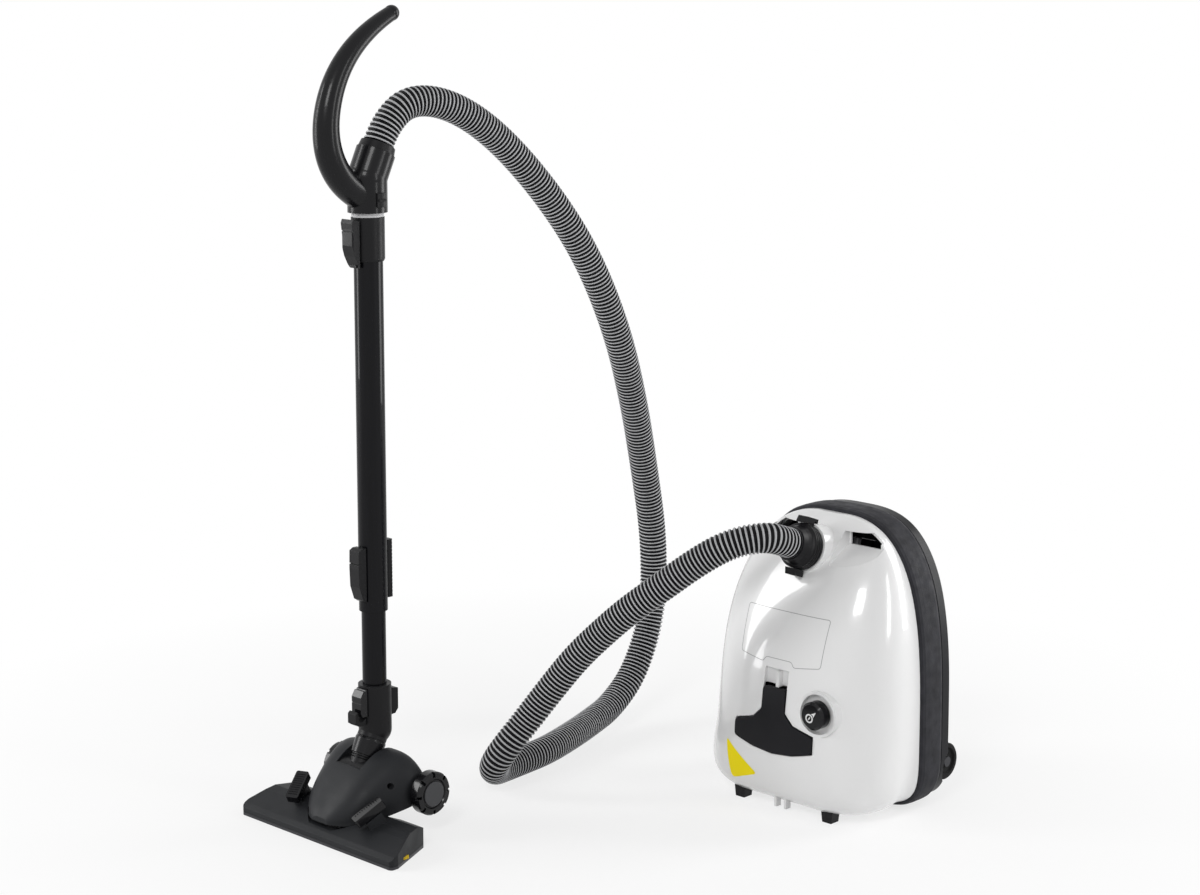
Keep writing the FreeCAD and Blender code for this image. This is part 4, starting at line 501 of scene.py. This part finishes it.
def flat_mark(name, outlines, origin, look, body):
    """Thin printed marks facing -y, each from its own outline of (x, z) corners."""
    mesh_maker = bmesh.new()
    for outline in outlines:
        corners = [(origin[0] + x, origin[1] - MARK_LIFT, origin[2] + z) for x, z in outline]
        front = [mesh_maker.verts.new(corner) for corner in corners]
        back = [mesh_maker.verts.new((v.co.x, v.co.y + MARK_DEPTH, v.co.z)) for v in front]
        mesh_maker.faces.new(front)
        for k in range(len(front)):
            after = (k + 1) % len(front)
            mesh_maker.faces.new((front[k], back[k], back[after], front[after]))
    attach(link(name, finished(mesh_maker, name), look), body)


def ring_sectors(inner, outer):
    """A flat ring as a row of small quads."""
    turns = [2 * math.pi * k / RING_SECTORS for k in range(RING_SECTORS + 1)]
    return [[(radius * math.cos(turn), radius * math.sin(turn))
             for radius, turn in ((inner, a), (outer, a), (outer, b), (inner, b))]
            for a, b in zip(turns, turns[1:])]


def turned_outline(outline, degrees):
    """The outline turned about its origin."""
    c, s = math.cos(math.radians(degrees)), math.sin(math.radians(degrees))
    return [(x * c - z * s, x * s + z * c) for x, z in outline]


def shifted(outline, x, z):
    """The outline moved sideways and up."""
    return [(a + x, b + z) for a, b in outline]


def knob_marks():
    """A ring with a bar in it and a pointer, low and to the left of the knob's middle."""
    low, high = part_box("power_knob")
    face = ((low[0] + high[0]) / 2, low[1], (low[2] + high[2]) / 2)
    bar = turned_outline(KNOB_BAR, KNOB_BAR_TURN)
    pointer = turned_outline(KNOB_POINTER, KNOB_POINTER_TURN)
    marks = [shifted(outline, *KNOB_MARKS_SHIFT) for outline in ring_sectors(*KNOB_RING) + [bar, pointer]]
    flat_mark("knob_marks", marks, face, MARK_WHITE, "knob")


knob_marks()


# ---------------------------------------------------------------- T cover, blank label and panel seam

CANISTER_X = (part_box("upper_housing")[0][0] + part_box("upper_housing")[1][0]) / 2
CORNER_STEPS = 6
DRAPE_GRID = 0.004
WELD_DISTANCE = 0.00001


def rounded(corners, radius):
    """The outline with each corner turned in a smooth curve."""
    outline = []
    for before, corner, after in zip(corners[-1:] + corners[:-1], corners, corners[1:] + corners[:1]):
        corner = Vector(corner)
        start = corner + (Vector(before) - corner).normalized() * radius
        end = corner + (Vector(after) - corner).normalized() * radius
        for k in range(CORNER_STEPS + 1):
            t = k / CORNER_STEPS
            outline.append((1 - t) ** 2 * start + 2 * t * (1 - t) * corner + t * t * end)
    return outline


def on_front(carrier, x, z, lift):
    """The point of the carrier's front at this x and z, lifted off by a little."""
    place, normal, _, _ = carrier.ray_cast(Vector((x, -1.0, z)), Vector((0, 1, 0)))
    return place + normal * lift * (1 if normal.y < 0 else -1)


def draped(name, outlines, look, lift, node="upper_housing", body="machine", depth=0.0):
    """Flat outlines in (x, z) laid on a node's front, cut finely to follow its curve, and depth thick."""
    carrier = BVHTree.FromObject(NODES[node], bpy.context.evaluated_depsgraph_get())
    mesh_maker = bmesh.new()
    for outline in outlines:
        mesh_maker.faces.new([mesh_maker.verts.new((CANISTER_X + x, 0.0, z)) for x, z in outline])
    bmesh.ops.remove_doubles(mesh_maker, verts=mesh_maker.verts, dist=WELD_DISTANCE)
    for axis in (0, 2):
        spots = [v.co[axis] for v in mesh_maker.verts]
        normal = Vector((0, 0, 0))
        normal[axis] = 1.0
        place = min(spots) + DRAPE_GRID
        while place < max(spots):
            whole = mesh_maker.verts[:] + mesh_maker.edges[:] + mesh_maker.faces[:]
            bmesh.ops.bisect_plane(mesh_maker, geom=whole, plane_co=normal * place, plane_no=normal)
            place += DRAPE_GRID
    for vertex in mesh_maker.verts:
        vertex.co = on_front(carrier, vertex.co.x, vertex.co.z, lift)
    if depth:
        grown = bmesh.ops.extrude_face_region(mesh_maker, geom=mesh_maker.faces[:])["geom"]
        for vertex in grown:
            if isinstance(vertex, bmesh.types.BMVert):
                vertex.co.y += depth
    for face in mesh_maker.faces:
        face.smooth = True
    made = link(name, finished(mesh_maker, name), look)
    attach(made, body)
    return made


def ribbon(outline, width):
    """The closed outline as a narrow band of quads."""
    edges = []
    for before, point, after in zip(outline[-1:] + outline[:-1], outline, outline[1:] + outline[:1]):
        ahead = (after - before).normalized()
        side = Vector((-ahead.y, ahead.x)) * width / 2
        edges.append((point - side, point + side))
    return [[a, b, d, c] for (a, b), (c, d) in zip(edges, edges[1:] + edges[:1])]


LABEL_CORNERS = [(-0.084, 0.089), (-0.076, 0.032), (-0.028, 0.049)]
PANEL_CORNERS = [(-0.070, 0.275), (0.070, 0.275), (0.068, 0.212), (0.026, 0.206), (0.022, 0.213),
                 (-0.022, 0.213), (-0.026, 0.206), (-0.068, 0.212)]
COVER_CORNERS = [(-0.0664, 0.0975), (-0.033, 0.0892), (0.0, 0.0858), (0.033, 0.0892), (0.0664, 0.0975),
                 (0.0664, 0.1202), (0.0335, 0.1290), (0.0192, 0.1430), (0.0192, 0.1754), (-0.0192, 0.1754),
                 (-0.0192, 0.1430), (-0.0335, 0.1290), (-0.0664, 0.1202)]
LABEL_RADIUS, PANEL_RADIUS, COVER_RADIUS = 0.007, 0.004, 0.0055
LABEL_LIFT, SEAM_LIFT = 0.00025, 0.0001
SEAM_WIDTH = 0.0008
COVER_DEPTH = 0.0065
COVER_RIM = 0.0014
RIM_SEGMENTS = 3
RIM_ANGLE = 50.0


def filter_cover():
    """The T-shaped cover with rounded corners and a soft rim."""
    outline = rounded(COVER_CORNERS, COVER_RADIUS)
    made = draped("filter_cover", [outline], COVER_BLACK, 0.0, "exhaust_cover", "exhaust_lid", COVER_DEPTH)
    rim = made.modifiers.new("rim", "BEVEL")
    rim.width = COVER_RIM
    rim.segments = RIM_SEGMENTS
    rim.angle_limit = math.radians(RIM_ANGLE)
    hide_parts("exhaust_cover")


filter_cover()
draped("plain_label", [rounded(LABEL_CORNERS, LABEL_RADIUS)], LABEL_YELLOW, LABEL_LIFT)
# The panel seam is a thin ribbon of painted shade laid on the shell, not a cut groove.
draped("panel_seam", ribbon(rounded(PANEL_CORNERS, PANEL_RADIUS), SEAM_WIDTH), SEAM_SHADE_GREY, SEAM_LIFT)


# ---------------------------------------------------------------- floor, world and lights

FLOOR_REACH = 6.0
FLOOR_COLOUR = (0.93, 0.93, 0.93, 1.0)
FLOOR_FADE = {"From Min": 0.45, "From Max": 1.2, "To Min": 0.72, "To Max": 1.0}
WORLD_COLOUR = (1.0, 1.0, 1.0, 1.0)
WORLD_STRENGTH = 0.27
WORLD_STRENGTH_SEEN = 1.0
LAMPS = {  # place, what it is aimed at, size and power
    "key": ((1.4, -2.7, 2.5), (0.0, 0.0, 0.4), (1.0, 1.0), 42.0),
    "side": ((2.9, 0.5, 1.3), (0.1, 0.0, 0.4), (0.5, 1.8), 18.0),
    "left_box": ((-2.1, -1.9, 1.2), (0.0, 0.0, 0.5), (0.8, 2.2), 46.0),
    "right_box": ((1.2, 2.1, 1.1), (0.0, 0.0, 0.5), (0.8, 2.2), 34.0),
}


def seen_rays(nodes, links):
    """1 for the rays that show the background: camera, glossy and transmission rays."""
    path = nodes.new("ShaderNodeLightPath")
    seen = path.outputs["Is Camera Ray"]
    for name in ("Is Glossy Ray", "Is Transmission Ray"):
        either = nodes.new("ShaderNodeMath")
        either.operation = "MAXIMUM"
        links.new(seen, either.inputs[0])
        links.new(path.outputs[name], either.inputs[1])
        seen = either.outputs["Value"]
    return seen


def floor():
    """A pale floor that keeps the shadow near the object and turns to white further out."""
    mesh = bpy.data.meshes.new("floor")
    corners = [(FLOOR_REACH * x, FLOOR_REACH * y, 0.0) for x, y in ((-1, -1), (1, -1), (1, 1), (-1, 1))]
    mesh.from_pydata(corners, [], [(0, 1, 2, 3)])
    material = bpy.data.materials.new("pale_floor")
    material.use_nodes = True
    nodes, links = material.node_tree.nodes, material.node_tree.links
    surface = nodes["Principled BSDF"]
    surface.inputs["Base Color"].default_value = FLOOR_COLOUR
    surface.inputs["Roughness"].default_value = 0.9
    glow = nodes.new("ShaderNodeEmission")
    blend = nodes.new("ShaderNodeMixShader")
    place = nodes.new("ShaderNodeTexCoord")
    reach = nodes.new("ShaderNodeVectorMath")
    reach.operation = "LENGTH"
    links.new(place.outputs["Object"], reach.inputs[0])
    fade = nodes.new("ShaderNodeMapRange")
    for socket, value in FLOOR_FADE.items():
        fade.inputs[socket].default_value = value
    links.new(reach.outputs["Value"], fade.inputs["Value"])
    seen = seen_rays(nodes, links)
    share = nodes.new("ShaderNodeMath")
    share.operation = "MULTIPLY"
    links.new(seen, share.inputs[0])
    links.new(fade.outputs["Result"], share.inputs[1])
    links.new(share.outputs["Value"], blend.inputs["Fac"])
    links.new(surface.outputs["BSDF"], blend.inputs[1])
    links.new(glow.outputs["Emission"], blend.inputs[2])
    links.new(blend.outputs["Shader"], nodes["Material Output"].inputs["Surface"])
    link("floor", mesh, material)


def area_light(name, place, aim, size, power):
    """A rectangular lamp aimed at a point."""
    data = bpy.data.lights.new(name, "AREA")
    data.shape = "RECTANGLE"
    data.size, data.size_y = size
    data.energy = power
    lamp = bpy.data.objects.new(name, data)
    lamp.location = place
    lamp.rotation_euler = (Vector(aim) - Vector(place)).to_track_quat("-Z", "Y").to_euler()
    scene.collection.objects.link(lamp)


def world_light():
    """Soft light from all round, and a white background where it is seen."""
    world = bpy.data.worlds.new("studio")
    scene.world = world
    world.use_nodes = True
    nodes, links = world.node_tree.nodes, world.node_tree.links
    background = nodes["Background"]
    strength = nodes.new("ShaderNodeMapRange")
    strength.inputs["To Min"].default_value = WORLD_STRENGTH
    strength.inputs["To Max"].default_value = WORLD_STRENGTH_SEEN
    links.new(seen_rays(nodes, links), strength.inputs["Value"])
    links.new(strength.outputs["Result"], background.inputs["Strength"])
    background.inputs["Color"].default_value = WORLD_COLOUR


floor()
world_light()
for name, settings in LAMPS.items():
    area_light(name, *settings)
